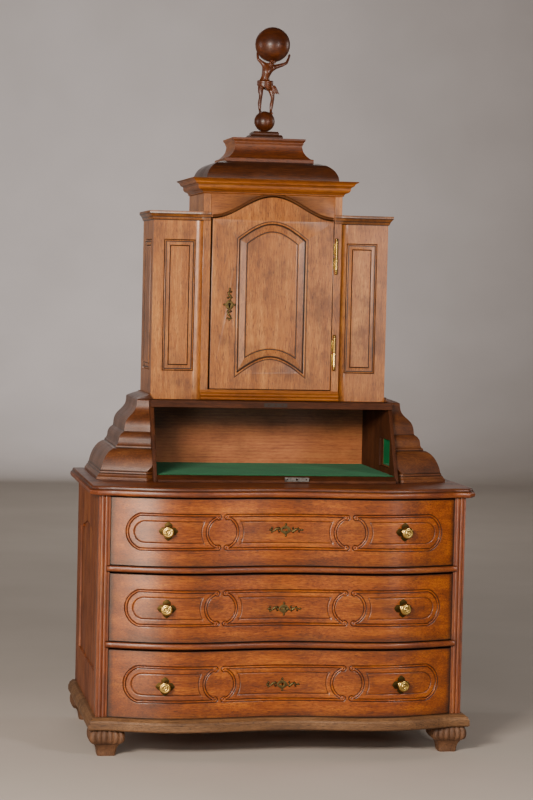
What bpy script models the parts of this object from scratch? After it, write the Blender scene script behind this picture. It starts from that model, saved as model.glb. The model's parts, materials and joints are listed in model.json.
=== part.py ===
"""Tabernacle secretary: serpentine chest, writing section and cabinet with a domed top.

Metres, +Z up, front towards -Y, +X to the viewer's right. The origin is on the floor under the
middle of the object. A place in depth is measured forward from the wall: y_at(depth).
"""
import bpy
import bmesh
import math
from mathutils import Matrix, Vector

for leftover in list(bpy.data.objects):
    bpy.data.objects.remove(leftover, do_unlink=True)

# Clearances and shared values
seat_gap = 0.0003
running_gap = 0.0015
overrun = 0.004
board = 0.012

# Chest: overall
case_half_width = 0.577
case_depth = 0.675
foot_height = 0.084
plinth_height = 0.038
drawer_opening = 0.2130
divider_thick = 0.0215
drawer_count = 3
top_thick = 0.030
side_thick = 0.022
post_width = 0.0355
post_depth = 0.050
bulge_rise = 0.055
centre_rise = 0.024
peak_share = 0.57
front_segments = 32
weld_share = 0.1

# Chest: mouldings and overhangs
plinth_overhang = 0.030
plinth_side_overhang = 0.023
plinth_chamfer = 0.014
plinth_frame_width = 0.085
plinth_edge_shares = ((0.30, 0.0), (0.0, 0.15), (0.0, 0.9), (0.2, 1.0))
plinth_slope_share = 0.5
plinth_slope_level_share = 0.75
top_overhang = 0.020
top_side_overhang = 0.029
top_corner_cut = 0.022
bead_proud = 0.007
bead_end_lap = 0.009
bead_round_share = 0.75
bead_level_shares = (0.0, 0.15, 0.5, 0.85, 1.0)
top_corner_ease_share = 0.4
top_edge_shares = (
    (0.30, 0.0), (0.10, 0.08), (0.0, 0.30), (0.0, 0.48), (0.09, 0.68), (0.24, 0.76), (0.28, 1.0))
reed_depth = 0.0035
reed_count = 2
panel_sunk = 0.006
side_panel_margin = 0.100
side_panel_front_margin = 0.075
side_panel_foot_margin = 0.128
side_panel_head_margin = 0.149
side_panel_step = 0.012
side_panel_rise = 0.023
side_panel_step_share = 0.6
side_panel_arch_points = 10

# Feet
foot_half = 0.050
foot_bulge = 0.006
foot_reeds = 4
foot_reed_depth = 0.004
foot_front_inset = 0.012
foot_side_inset = 0.004
foot_shares = (
    (0.48, 0.0, 0.0), (0.52, 0.0, 0.08), (0.56, 0.0, 0.26), (0.71, 0.0, 0.45), (0.77, 0.5, 0.50),
    (1.0, 1.0, 0.68), (0.97, 1.0, 0.84), (0.82, 0.5, 1.0))

# Drawers
front_least_thick = 0.035
front_foot_gap = 0.0010
front_head_gap = 0.0022
tray_wall = 0.012
tray_floor = 0.008
tray_rear_room = 0.030
tray_head_drop = 0.035
runner_width = 0.052
cartouche_half_height = 0.0515
cartouche_margin = 0.0495
roundel_share = 0.371
roundel_radius = 0.0486
horn_half_gap = 0.0135
bead_radius = 0.0034
knob_inset = 0.122
knob_reach = 0.0325
knob_radius = 0.0185
knob_rises = (-0.005, 0.0, 0.003)
knob_shares = (
    (0.0, 1.0), (0.30, 1.0), (0.42, 0.94), (0.90, 0.88), (1.0, 0.78), (0.86, 0.64), (0.45, 0.52),
    (0.34, 0.30), (0.60, 0.12))
knob_collar_share = 0.72
turned_steps = 12
rosette_points = 16
rosette_lobes = 4
rosette_lobe_share = 0.20
rosette_half = 0.0290
plate_thick = 0.0022
plate_half_long = 0.050
plate_half_high = 0.0205
plate_rises = (-0.005, -0.004, 0.006)
keyhole_radius = 0.0042
keyhole_slot = 0.0120
keyhole_foot_share = 0.45
plate_points = 24
plate_lobe_share = 0.10
plate_narrow_share = 0.35
lock_width = 0.066
lock_height = 0.132
lock_thick = 0.014
bolt_width = 0.024
bolt_thick = 0.005
bolt_throw = 0.009
mortise_room = 0.0015

# Writing section
upper_back_depth = 0.008
wing_back_depth = 0.055
compartment_height = 0.228
top_board_thick = 0.0215
wall_inset = 0.0022
wall_thick = 0.0115
wall_front_foot = 0.530
wall_front_head = 0.403
top_board_front = 0.412
floor_thick = 0.020
floor_front = 0.542
rim_width = 0.030
baize_thick = 0.0015
window_front = 0.437
window_back = 0.290
window_foot_above_floor = 0.020
window_height = 0.092
flank_top_corner = 0.327
flank_splay_deg = 21.0
flank_wall = 0.016
flank_spread = 0.1800
flank_height = 0.2640
flank_shares = (
    (1.000, 0.000), (0.985, 0.035), (0.965, 0.070), (0.945, 0.075), (0.935, 0.100), (0.900, 0.165),
    (0.840, 0.260), (0.765, 0.325), (0.685, 0.365), (0.640, 0.372), (0.610, 0.405), (0.590, 0.440),
    (0.580, 0.500), (0.530, 0.540), (0.515, 0.555), (0.485, 0.575), (0.475, 0.640), (0.450, 0.690),
    (0.400, 0.730), (0.320, 0.780), (0.270, 0.830), (0.260, 0.880), (0.255, 0.930), (0.150, 0.965),
    (0.030, 1.000))
flank_hollow_shares = (
    (0.84, 0.07), (0.76, 0.25), (0.55, 0.36), (0.49, 0.50), (0.40, 0.58), (0.35, 0.68), (0.24, 0.78),
    (0.19, 0.82))
rim_round_share = 0.1
rim_level_share = 0.4

# Cabinet
wing_half_width = 0.3837
wing_front = 0.3280
wing_head_drop = 0.011
wing_wall = 0.014
cove_width = 0.024
wing_panel_half = 0.051
wing_panel_inset = 0.0857
wing_panel_head_margin = 0.061
wing_panel_above = 0.091
wing_panel_groove = 0.022
wing_groove_depth = 0.004
side_panel_half_depth = 0.085
wing_cornice_height = 0.029
wing_cornice_reach = 0.0145
wing_cornice_shares = ((0.12, 0.0), (0.30, 0.14), (0.42, 0.34), (0.80, 0.60), (1.0, 0.70), (1.0, 1.0))
cove_segments = 6
stile_block_reach = 0.007
centre_half_width = 0.2260
centre_front = 0.3450
centre_thick = 0.022
cheek_thick = 0.012
frieze_over_arch = 0.005
foot_rail_height = 0.0335
foot_rail_reach = 0.014
foot_rail_reeds = 2

# Door
opening_half = 0.2022
door_gap = 0.0020
door_proud = 0.0020
arch_shoulder = 0.585
arch_rise = 0.072
door_thick = 0.022
panel_half = 0.107
panel_foot_shoulder = 0.058
panel_foot_rise = 0.050
panel_head_margin = 0.0695
panel_head_rise = 0.052
arch_segments = 24
panel_segments = 16
door_panel_thick = 0.010
door_panel_set_back = 0.004
field_margin = 0.027
field_rise = 0.004
door_plate_x = -0.1365
door_plate_above = 0.308
door_plate_half_long = 0.0525
door_plate_half_wide = 0.0210
door_lock_height = 0.096
door_lock_width = 0.070
hinge_radius = 0.0045
hinge_height = 0.118
hinge_head_margin = 0.116
hinge_lower_above = 0.158
hinge_offset = 0.0088
hinge_leaf = 0.0012
hinge_leaf_depth = 0.016
finial_radius = 0.0060
hinge_finial_shares = ((0.0, 1.0), (0.55, 0.985), (0.9, 0.93), (0.9, 0.88), (0.45, 0.82))
hinge_collar_share = 1.25
hinge_collar_level_share = 0.78
hinge_barrel_level_share = 0.74
hinge_leaf_shares = (0.08, 0.70)

# Top works
cornice_height = 0.048
cornice_reach = 0.0440
cornice_shares = (
    (0.0, 0.0), (0.10, 0.04), (0.10, 0.13), (0.22, 0.20), (0.42, 0.30), (0.50, 0.42), (0.50, 0.60),
    (0.58, 0.66), (0.66, 0.72), (0.74, 0.76), (0.80, 0.84), (0.92, 0.90), (1.0, 0.93), (1.0, 1.0))
dome_segments = 8
dome_height = 0.061
dome_foot_half = 0.216
dome_head_half = 0.146
dome_front = 0.335
dome_head_front = 0.262
top_back_depth = 0.012
cove_block_height = 0.079
cove_foot_half = 0.1445
cove_neck_half = 0.1110
cove_head_half = 0.1205
cove_fillet_share = 0.15
cove_neck_share = 0.62
cove_flare_foot_share = 0.78
cove_flare_share = 0.55
cove_head_share = 0.90
step_heights = (0.0145, 0.0115)
step_halves = (0.054, 0.0430)
step_half_depths = (0.050, 0.0390)
step_edge_share = 0.3

# Figure
ball_radius = 0.0340
globe_radius = 0.0575
globe_aside = 0.0215
figure_height = 0.2527
ball_segments = 20
globe_segments = 24
figure_voxel_share = 0.0150
figure_keep_share = 0.20
figure_shares = {
    "left_foot": ((-0.066, -0.045, 0.116), 0.024), "left_ankle": ((-0.066, 0.000, 0.142), 0.022),
    "left_calf": ((-0.066, 0.008, 0.230), 0.027), "left_knee": ((-0.060, -0.025, 0.336), 0.028),
    "left_thigh": ((-0.066, -0.010, 0.420), 0.044), "left_hip": ((-0.050, 0.008, 0.485), 0.052),
    "right_foot": ((0.080, -0.045, 0.106), 0.024), "right_ankle": ((0.080, 0.000, 0.132), 0.022),
    "right_calf": ((0.088, 0.008, 0.215), 0.027), "right_knee": ((0.098, -0.025, 0.310), 0.028),
    "right_thigh": ((0.082, -0.010, 0.400), 0.044), "right_hip": ((0.050, 0.008, 0.465), 0.052),
    "pelvis": ((0.000, 0.010, 0.505), 0.070), "waist": ((-0.004, 0.004, 0.575), 0.064),
    "chest": ((0.020, -0.012, 0.665), 0.078), "neck": ((0.062, -0.045, 0.735), 0.036),
    "head": ((0.078, -0.088, 0.745), 0.044),
    "left_shoulder": ((-0.022, -0.010, 0.735), 0.036), "left_elbow": ((-0.108, -0.016, 0.806), 0.026),
    "left_hand": ((-0.112, 0.010, 0.900), 0.022),
    "right_shoulder": ((0.125, -0.010, 0.710), 0.036), "right_elbow": ((0.272, -0.016, 0.766), 0.026),
    "right_hand": ((0.318, 0.010, 0.888), 0.022),
    "cloth_knot": ((0.105, -0.020, 0.420), 0.030), "cloth_end": ((0.150, -0.020, 0.392), 0.026)}
figure_bones = (
    ("left_foot", "left_ankle"), ("left_ankle", "left_calf"), ("left_calf", "left_knee"),
    ("left_knee", "left_thigh"), ("left_thigh", "left_hip"), ("left_hip", "pelvis"),
    ("right_foot", "right_ankle"), ("right_ankle", "right_calf"), ("right_calf", "right_knee"),
    ("right_knee", "right_thigh"), ("right_thigh", "right_hip"), ("right_hip", "pelvis"),
    ("pelvis", "waist"), ("waist", "chest"), ("chest", "neck"), ("neck", "head"),
    ("chest", "left_shoulder"), ("left_shoulder", "left_elbow"), ("left_elbow", "left_hand"),
    ("chest", "right_shoulder"), ("right_shoulder", "right_elbow"), ("right_elbow", "right_hand"),
    ("right_thigh", "cloth_knot"), ("cloth_knot", "cloth_end"))

# Values worked out from the sizes above
overall_depth = case_depth + bulge_rise + plinth_overhang
case_foot = foot_height + plinth_height
opening_step = drawer_opening + divider_thick
case_head = case_foot + drawer_count * opening_step - divider_thick
top_level = case_head + top_thick
board_level = top_level + compartment_height
wing_height = arch_shoulder - wing_head_drop
wing_panel_height = wing_height - wing_panel_above - wing_panel_head_margin
centre_height = arch_shoulder + arch_rise + frieze_over_arch
panel_head_shoulder = arch_shoulder - foot_rail_height - panel_head_margin
hinge_upper_above = arch_shoulder - hinge_head_margin
cabinet_level = board_level + top_board_thick
centre_head = cabinet_level + centre_height
cornice_head = centre_head + cornice_height
dome_head = cornice_head + dome_height
block_head = dome_head + cove_block_height
step_head = block_head + sum(step_heights)
ball_level = step_head + ball_radius
post_inner = case_half_width - post_width
front_back_depth = case_depth - front_least_thick
cartouche_end = post_inner - cartouche_margin
roundel_at = post_inner * roundel_share
knob_at = cartouche_end - knob_inset
wall_inner_half = wing_half_width - wall_inset
wing_panel_at = wing_half_width - wing_panel_inset
block_middle_depth = (dome_head_front + top_back_depth) / 2

OAK = (0.42, 0.18, 0.065, 1.0)
WALNUT = (0.36, 0.115, 0.032, 1.0)
DARK = (0.06, 0.022, 0.010, 1.0)
WORN = (0.13, 0.072, 0.042, 1.0)
PINE = (0.34, 0.19, 0.09, 1.0)
BRASS = (0.60, 0.44, 0.16, 1.0)
IRON = (0.09, 0.085, 0.08, 1.0)
BAIZE = (0.012, 0.14, 0.055, 1.0)

parts = bpy.data.collections.new("tabernacle_secretary")
cutters = bpy.data.collections.new("cutters")
bpy.context.scene.collection.children.link(parts)
bpy.context.scene.collection.children.link(cutters)
finishes = {}


def y_at(depth):
    """World y of a place that lies depth metres forward of the wall."""
    return overall_depth / 2 - depth


def finish(name, colour, roughness, metallic=0.0):
    """The named finish, made once."""
    if name not in finishes:
        material = bpy.data.materials.new(name)
        material.use_nodes = True
        shader = material.node_tree.nodes["Principled BSDF"]
        shader.inputs["Base Color"].default_value = colour
        shader.inputs["Roughness"].default_value = roughness
        shader.inputs["Metallic"].default_value = metallic
        finishes[name] = material
    return finishes[name]


def walnut():
    return finish("waxed_walnut", WALNUT, 0.38)


def oak():
    return finish("waxed_oak", OAK, 0.45)


def worn():
    return finish("worn_oak", WORN, 0.65)


def pine():
    return finish("plain_pine", PINE, 0.7)


def brass():
    return finish("cast_brass", BRASS, 0.35, 1.0)


def iron():
    return finish("forged_iron", IRON, 0.6, 1.0)


def add_object(name, mesh, place=(0.0, 0.0, 0.0), material=None, turn=0.0):
    """Put a mesh into the parts collection, or among the cutters when it has no finish."""
    thing = bpy.data.objects.new(name, mesh)
    thing.location = place
    thing.rotation_euler = (0.0, 0.0, turn)
    if material:
        parts.objects.link(thing)
        mesh.materials.append(material)
    else:
        cutters.objects.link(thing)
        thing.hide_render = True
        thing.display_type = "WIRE"
    return thing


def block(name, x_span, y_span, z_span, material=None):
    """A board between two limits on each axis, placed by its middle."""
    spans = (x_span, y_span, z_span)
    size = [abs(high - low) for low, high in spans]
    middle = [(low + high) / 2 for low, high in spans]
    shape = bmesh.new()
    bmesh.ops.create_cube(shape, size=1)
    bmesh.ops.scale(shape, vec=size, verts=shape.verts)
    mesh = bpy.data.meshes.new(name)
    shape.to_mesh(mesh)
    shape.free()
    return add_object(name, mesh, middle, material)


def stacked(name, ring_at, levels, place, material=None, smooth=False):
    """A moulded block: ring_at(level) gives the plan outline, counter-clockwise from above."""
    shape = bmesh.new()
    rings = []
    for level in levels:
        height = level[-1]
        rings.append([shape.verts.new((x, y, height)) for x, y in ring_at(*level[:-1])])
    for lower, upper in zip(rings, rings[1:]):
        for index in range(len(lower)):
            after = (index + 1) % len(lower)
            shape.faces.new((lower[index], lower[after], upper[after], upper[index]))
    shape.faces.new(list(reversed(rings[0])))
    shape.faces.new(rings[-1])
    bmesh.ops.remove_doubles(shape, verts=shape.verts, dist=seat_gap * weld_share)
    bmesh.ops.triangulate(shape, faces=[face for face in shape.faces if len(face.verts) > 4])
    mesh = bpy.data.meshes.new(name)
    shape.to_mesh(mesh)
    shape.free()
    if smooth:
        mesh.shade_smooth()
        mesh.set_sharp_from_angle(angle=math.radians(35))
    return add_object(name, mesh, place, material)


def outline_mesh(name, loops, thickness):
    """A flat outline, with holes where loops follow the first, standing upright and facing -Y."""
    curve = bpy.data.curves.new(name, "CURVE")
    curve.dimensions = "2D"
    curve.fill_mode = "BOTH"
    curve.extrude = thickness / 2
    for loop in loops:
        spline = curve.splines.new("POLY")
        spline.points.add(len(loop) - 1)
        for point, (x, z) in zip(spline.points, loop):
            point.co = (x, z, 0.0, 1.0)
        spline.use_cyclic_u = True
    holder = bpy.data.objects.new(name, curve)
    cutters.objects.link(holder)
    bpy.context.view_layer.update()
    graph = bpy.context.evaluated_depsgraph_get()
    mesh = bpy.data.meshes.new_from_object(holder.evaluated_get(graph))
    bpy.data.objects.remove(holder, do_unlink=True)
    bpy.data.curves.remove(curve)
    mesh.materials.clear()
    shape = bmesh.new()
    shape.from_mesh(mesh)
    bmesh.ops.remove_doubles(shape, verts=shape.verts, dist=seat_gap * weld_share)
    bmesh.ops.recalc_face_normals(shape, faces=shape.faces)
    shape.to_mesh(mesh)
    shape.free()
    mesh.transform(Matrix.Rotation(math.pi / 2, 4, "X"))
    return mesh


def turned_mesh(name, profile):
    """A closed turned solid about Z from (radius, height) pairs, top to bottom down the outer side."""
    shape = bmesh.new()
    line = [shape.verts.new((radius, 0, height)) for radius, height in profile]
    for upper, lower in zip(line, line[1:]):
        shape.edges.new((upper, lower))
    mesh = bpy.data.meshes.new(name)
    shape.to_mesh(mesh)
    shape.free()
    holder = add_object(name + "_profile", mesh)
    screw = holder.modifiers.new("turn", "SCREW")
    screw.steps = turned_steps
    screw.render_steps = turned_steps
    screw.use_merge_vertices = True
    screw.merge_threshold = 0.0001
    bpy.context.view_layer.update()
    graph = bpy.context.evaluated_depsgraph_get()
    solid = bpy.data.meshes.new_from_object(holder.evaluated_get(graph))
    bpy.data.objects.remove(holder, do_unlink=True)
    return solid


def cut(target, cutter, operation="DIFFERENCE"):
    """Add an exact Boolean that stays live on the target."""
    modifier = target.modifiers.new(cutter.name, "BOOLEAN")
    modifier.object = cutter
    modifier.operation = operation
    modifier.solver = "EXACT"


def arc(centre, radius, start_deg, end_deg, count):
    """Points on a circle arc, both ends included."""
    points = []
    for index in range(count + 1):
        angle = math.radians(start_deg + (end_deg - start_deg) * index / count)
        points.append((centre[0] + radius * math.cos(angle), centre[1] + radius * math.sin(angle)))
    return points


def bulge(x):
    """How far the serpentine front stands forward of the case at x."""
    share = min(1.0, abs(x) / post_inner)
    if share < peak_share:
        swing = (1 - math.cos(math.pi * share / peak_share)) / 2
        return centre_rise + (bulge_rise - centre_rise) * swing
    return bulge_rise * math.cos(math.pi / 2 * (share - peak_share) / (1 - peak_share))


front_places = [post_inner * (2 * index / front_segments - 1) for index in range(front_segments + 1)]


def facet_bulge(x):
    """The bulge on the straight facets between the front places."""
    step = 2 * post_inner / front_segments
    index = min(front_segments - 1, max(0, int((x + post_inner) / step)))
    low, high = front_places[index], front_places[index + 1]
    share = (x - low) / (high - low)
    return bulge(low) * (1 - share) + bulge(high) * share


def serpentine(depth, half_width):
    """Front edge points from left to right at the given depth, facet for facet."""
    inner = [x for x in front_places if abs(x) < half_width - seat_gap]
    reach = min(half_width, post_inner)
    edge = facet_bulge(reach) if half_width < post_inner else 0.0
    points = [(-half_width, y_at(depth + edge))]
    points += [(x, y_at(depth + facet_bulge(x))) for x in inner]
    points.append((half_width, y_at(depth + edge)))
    return points


def wrap_to_front(mesh, depth):
    """Lay an upright flat mesh on the serpentine face: split at the facets, then push out."""
    shape = bmesh.new()
    shape.from_mesh(mesh)
    for place in front_places[1:-1]:
        everything = shape.verts[:] + shape.edges[:] + shape.faces[:]
        bmesh.ops.bisect_plane(shape, geom=everything, plane_co=(place, 0, 0), plane_no=(1, 0, 0))
    for vertex in shape.verts:
        vertex.co.y += y_at(depth + facet_bulge(vertex.co.x))
    shape.to_mesh(mesh)
    shape.free()
    return mesh


# Chest

def make_case():
    """Sides, posts, back and bottom of the chest."""
    for side, name in ((-1, "left"), (1, "right")):
        outer = side * case_half_width
        inner = side * (case_half_width - side_thick)
        depth_end = case_depth - post_depth - seat_gap
        x_span = (min(outer, inner), max(outer, inner))
        z_span = (case_foot + seat_gap, case_head - seat_gap)
        panel = block(name + "_side", x_span, (y_at(depth_end), y_at(0)), z_span, walnut())
        recess = outline_mesh(name + "_side_recess", [side_panel_outline()], 2 * panel_sunk)
        recess.transform(Matrix.Rotation(math.pi / 2, 4, "Z"))
        cut(panel, add_object(name + "_side_recess", recess, (outer, 0.0, 0.0)))
        make_post(side, name)
    inner_half = case_half_width - side_thick - seat_gap
    block("case_back", (-inner_half, inner_half), (y_at(board), y_at(0)),
          (case_foot + seat_gap, case_head - seat_gap), pine())
    bottom_front = case_depth - post_depth - seat_gap
    block("case_bottom", (-inner_half, inner_half), (y_at(bottom_front), y_at(board + seat_gap)),
          (case_foot + seat_gap, case_foot + board), pine())


def side_panel_outline():
    """The sunk field of a case side: square foot, a step up at each shoulder, then a low arch."""
    side_panel_front = case_depth - side_panel_front_margin
    side_panel_back = side_panel_margin
    side_panel_foot = case_foot + side_panel_foot_margin
    side_panel_head = case_head - side_panel_head_margin
    middle = (y_at(side_panel_front) + y_at(side_panel_back)) / 2
    half = (side_panel_front - side_panel_back) / 2
    arch_half = half * side_panel_step_share
    points = [(middle - half, side_panel_foot), (middle + half, side_panel_foot),
              (middle + half, side_panel_head)]
    points += arc((middle + arch_half + side_panel_step, side_panel_head), side_panel_step, 0, 90, 3)
    for index in range(1, side_panel_arch_points + 1):
        share = 1 - 2 * index / (side_panel_arch_points + 1)
        rise = side_panel_step + side_panel_rise * math.cos(math.pi / 2 * share)
        points.append((middle + arch_half * share, side_panel_head + rise))
    points += arc((middle - arch_half - side_panel_step, side_panel_head), side_panel_step, 90, 180, 3)
    points.append((middle - half, side_panel_head))
    return points


def make_post(side, name):
    """A front corner post with reeds on its face."""
    reed_width = post_width / (reed_count + 1)
    outline = []
    for reed in range(reed_count):
        centre = -post_width / 2 + reed_width * (reed + 1)
        for x, y in arc((centre, 0), reed_width / 2, 180, 360, 6):
            outline.append((x, y * 2 * reed_depth / reed_width))
    outline = [(-post_width / 2, 0.0)] + outline + [(post_width / 2, 0.0)]
    outline += [(post_width / 2, post_depth - reed_depth), (-post_width / 2, post_depth - reed_depth)]
    place = (side * (case_half_width - post_width / 2), y_at(case_depth - reed_depth), case_foot + seat_gap)
    height = case_head - case_foot - 2 * seat_gap
    stacked(name + "_corner_post", lambda: outline, [(0.0,), (height,)], place, walnut())


def make_dividers():
    """The two drawer dividers: a serpentine bead in front and a runner down each side."""
    lap_half = post_inner + bead_end_lap
    reach_half = post_inner - seat_gap
    side_half = case_half_width - side_thick - seat_gap
    post_back = case_depth - post_depth - seat_gap
    runner_half = side_half - runner_width
    rear = board + seat_gap
    rail_back = front_back_depth - 2 * lock_thick

    def plan(inset):
        front = serpentine(case_depth + bead_proud - inset, lap_half)
        back = [
            (lap_half, y_at(case_depth + seat_gap)), (reach_half, y_at(case_depth + seat_gap)),
            (reach_half, y_at(post_back)), (side_half, y_at(post_back)), (side_half, y_at(rear)),
            (runner_half, y_at(rear)), (runner_half, y_at(rail_back))]
        return front + back + [(-x, y) for x, y in reversed(back)]

    bead_gap = 2 * seat_gap
    thick = divider_thick - 2 * bead_gap
    levels = []
    for share in bead_level_shares:
        round_in = bead_proud * bead_round_share * (1 - math.sqrt(1 - (2 * share - 1) ** 2))
        levels.append((round_in, share * thick))
    for number, name in ((1, "lower_divider"), (2, "upper_divider")):
        height = case_foot + number * opening_step - divider_thick + bead_gap
        rail = stacked(name, plan, levels, (0, 0, height), walnut())
        cut(rail, bolt_mortise(name, height))


def bolt_mortise(name, underside):
    """Pocket for a drawer lock's bolt, cut upward from the given underside."""
    half_x = bolt_width / 2 + mortise_room
    middle = lock_middle_depth()
    half_y = bolt_thick / 2 + mortise_room
    top = underside + bolt_throw + mortise_room
    return block(name + "_mortise", (-half_x, half_x), (y_at(middle + half_y), y_at(middle - half_y)),
                 (underside - overrun, top))


def lock_middle_depth():
    return front_back_depth - seat_gap - lock_thick / 2


def make_plinth_and_feet():
    """Moulded plinth frame under the case, on four feet."""
    half = case_half_width + plinth_side_overhang
    depth = case_depth + plinth_overhang
    inner_half = half - plinth_frame_width
    inner_depth = depth - plinth_frame_width

    def plan(inset):
        front = serpentine(depth - inset, half - inset)
        back = [(half - inset, y_at(0)), (inner_half, y_at(0)), (inner_half, y_at(inner_depth))]
        return front + back + [(-x, y) for x, y in reversed(back)]

    face = plinth_height - plinth_chamfer - seat_gap
    levels = [(inset * plinth_chamfer, height * face) for inset, height in plinth_edge_shares]
    levels.append((plinth_chamfer * plinth_slope_share, face + plinth_chamfer * plinth_slope_level_share))
    levels.append((plinth_chamfer, face + plinth_chamfer))
    stacked("plinth", plan, levels, (0, 0, foot_height), worn())
    for side, side_name in ((-1, "left"), (1, "right")):
        centre_x = side * (half - foot_side_inset - foot_half - foot_bulge)
        make_foot("front_" + side_name + "_foot", (centre_x, y_at(depth - foot_front_inset - foot_half)))
        make_foot("rear_" + side_name + "_foot", (centre_x, y_at(foot_half + foot_bulge)))


def make_foot(name, centre):
    """A foot with a reeded swelling above a plain taper."""
    def plan(half, groove):
        ring = []
        directions = ((1, 0, 0, -1), (0, 1, 1, 0), (-1, 0, 0, 1), (0, -1, -1, 0))
        for along_x, along_y, out_x, out_y in directions:
            for reed in range(foot_reeds):
                for spot in (0, 1):
                    travel = ((2 * reed + spot) / foot_reeds - 1) * half
                    reach = half - (groove if reed and not spot else 0.0)
                    ring.append((along_x * travel + out_x * reach, along_y * travel + out_y * reach))
        return ring

    height = foot_height - seat_gap
    full = foot_half + foot_bulge
    levels = [(half * full, groove * foot_reed_depth, rise * height) for half, groove, rise in foot_shares]
    stacked(name, plan, levels, (centre[0], centre[1], 0.0), worn())


def make_top_plate():
    """The chest's top plate, serpentine in front, with a moulded edge on three sides."""
    half = case_half_width + top_side_overhang
    depth = case_depth + top_overhang
    corner_half = half - top_corner_cut

    def plan(inset):
        ease = inset * top_corner_ease_share
        front = serpentine(depth - inset, corner_half - ease)
        right = [(half - inset, y_at(depth - top_corner_cut - ease)), (half - inset, y_at(0))]
        return front + right + [(-x, y) for x, y in reversed(right)]

    thick = top_thick - seat_gap
    levels = [(inset * thick, height * thick) for inset, height in top_edge_shares]
    plate = stacked("top_plate", plan, levels, (0, 0, case_head), walnut())
    cut(plate, bolt_mortise("top_plate", case_head))


# Drawers

def keyhole_outline():
    """Round head with a tapered slot below."""
    points = arc((0, 0), keyhole_radius, -60, 240, 8)
    foot = keyhole_radius * keyhole_foot_share
    return points + [(-foot, -keyhole_slot), (foot, -keyhole_slot)]


def plate_outline(half_long, half_high):
    """A cast key plate: a lobed oval drawn out to leaf points at its ends."""
    points = []
    for index in range(plate_points):
        angle = 2 * math.pi * index / plate_points
        lobe = 1 + plate_lobe_share * (math.cos(6 * angle) - math.cos(4 * angle))
        narrow = 1 - plate_narrow_share * abs(math.cos(angle)) ** 3
        points.append((half_long * math.cos(angle), half_high * math.sin(angle) * lobe * narrow))
    return points


def left_cartouche():
    """Bead line of the left cartouche: round outer end, hollow inner end round the roundel."""
    height = cartouche_half_height
    horn_x = -roundel_at - horn_half_gap
    horn_deg = math.degrees(math.acos(horn_half_gap / roundel_radius))
    line = [(x, height) for x in reversed(front_places) if -cartouche_end + height < x < horn_x]
    outline = [(horn_x - bead_radius, height)] + line
    outline += arc((-cartouche_end + height, 0), height, 90, 270, 10)
    outline += [(x, -z) for x, z in reversed(line)] + [(horn_x - bead_radius, -height)]
    outline += arc((-roundel_at, 0), roundel_radius, 180 + horn_deg, 180 - horn_deg, 8)
    return outline


def middle_cartouche():
    """Bead line of the centre cartouche: hollow at both ends."""
    height = cartouche_half_height
    horn_x = roundel_at - horn_half_gap
    horn_deg = math.degrees(math.acos(horn_half_gap / roundel_radius))
    line = [(x, height) for x in front_places if abs(x) < horn_x - 2 * bead_radius]
    right = arc((roundel_at, 0), roundel_radius, 180 - horn_deg, 180 + horn_deg, 8)
    outline = [(-horn_x + bead_radius, height)] + line + [(horn_x - bead_radius, height)] + right
    lower = [(x, -z) for x, z in reversed(line)]
    outline += [(horn_x - bead_radius, -height)] + lower + [(-horn_x + bead_radius, -height)]
    outline += [(-x, z) for x, z in reversed(right)]
    return outline


def bead_line(name, outline, centre_z):
    """A round bead laid along an outline on the serpentine face, as a closed mesh."""
    curve = bpy.data.curves.new(name, "CURVE")
    curve.dimensions = "3D"
    curve.bevel_depth = bead_radius
    curve.bevel_resolution = 0
    spline = curve.splines.new("POLY")
    spline.points.add(len(outline) - 1)
    for point, (x, z) in zip(spline.points, outline):
        point.co = (x, y_at(case_depth + facet_bulge(x) + seat_gap), z, 1.0)
    spline.use_cyclic_u = True
    holder = bpy.data.objects.new(name, curve)
    cutters.objects.link(holder)
    bpy.context.view_layer.update()
    graph = bpy.context.evaluated_depsgraph_get()
    mesh = bpy.data.meshes.new_from_object(holder.evaluated_get(graph))
    bpy.data.objects.remove(holder, do_unlink=True)
    mesh.materials.clear()
    shape = bmesh.new()
    shape.from_mesh(mesh)
    bmesh.ops.remove_doubles(shape, verts=shape.verts, dist=seat_gap * weld_share)
    bmesh.ops.recalc_face_normals(shape, faces=shape.faces)
    shape.to_mesh(mesh)
    shape.free()
    return add_object(name, mesh, (0, 0, centre_z))


def make_drawer(number, name):
    """One drawer: front, tray, knobs, key plate, lock and bolt, all on a sliding empty."""
    foot = case_foot + number * opening_step
    middle = foot + drawer_opening / 2
    key_level = middle + plate_rises[number]
    slide = bpy.data.objects.new(name + "_drawer_slide", None)
    slide.location = (0, y_at(case_depth), foot)
    parts.objects.link(slide)
    members = []
    half = post_inner - running_gap
    front_height = drawer_opening - front_foot_gap - front_head_gap

    def plan():
        rear = y_at(front_back_depth)
        return serpentine(case_depth, half) + [(half, rear), (-half, rear)]

    front = stacked(name + "_drawer_front", plan, [(0.0,), (front_height,)], (0, 0, foot + front_foot_gap),
                    walnut())
    lines = [("left", left_cartouche()), ("middle", middle_cartouche())]
    lines.append(("right", [(-x, z) for x, z in reversed(left_cartouche())]))
    for which, outline in lines:
        cut(front, bead_line(name + "_" + which + "_bead", outline, middle), "UNION")
    bore = outline_mesh(name + "_keyway", [keyhole_outline()], 2 * (bulge_rise + side_thick * 2))
    cut(front, add_object(name + "_keyway", bore, (0, y_at(case_depth), key_level)))
    members.append(front)
    members.append(make_tray(name, foot, half))
    knob_level = middle + knob_rises[number]
    for side, side_name in ((-1, "left"), (1, "right")):
        members.append(make_knob(name + "_" + side_name + "_knob", side * knob_at, knob_level))
    members.append(make_key_plate(name, key_level))
    members += make_drawer_lock(name, foot)
    for member in members:
        bpy.context.view_layer.update()
        member.parent = slide
        member.matrix_parent_inverse = slide.matrix_world.inverted()


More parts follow.
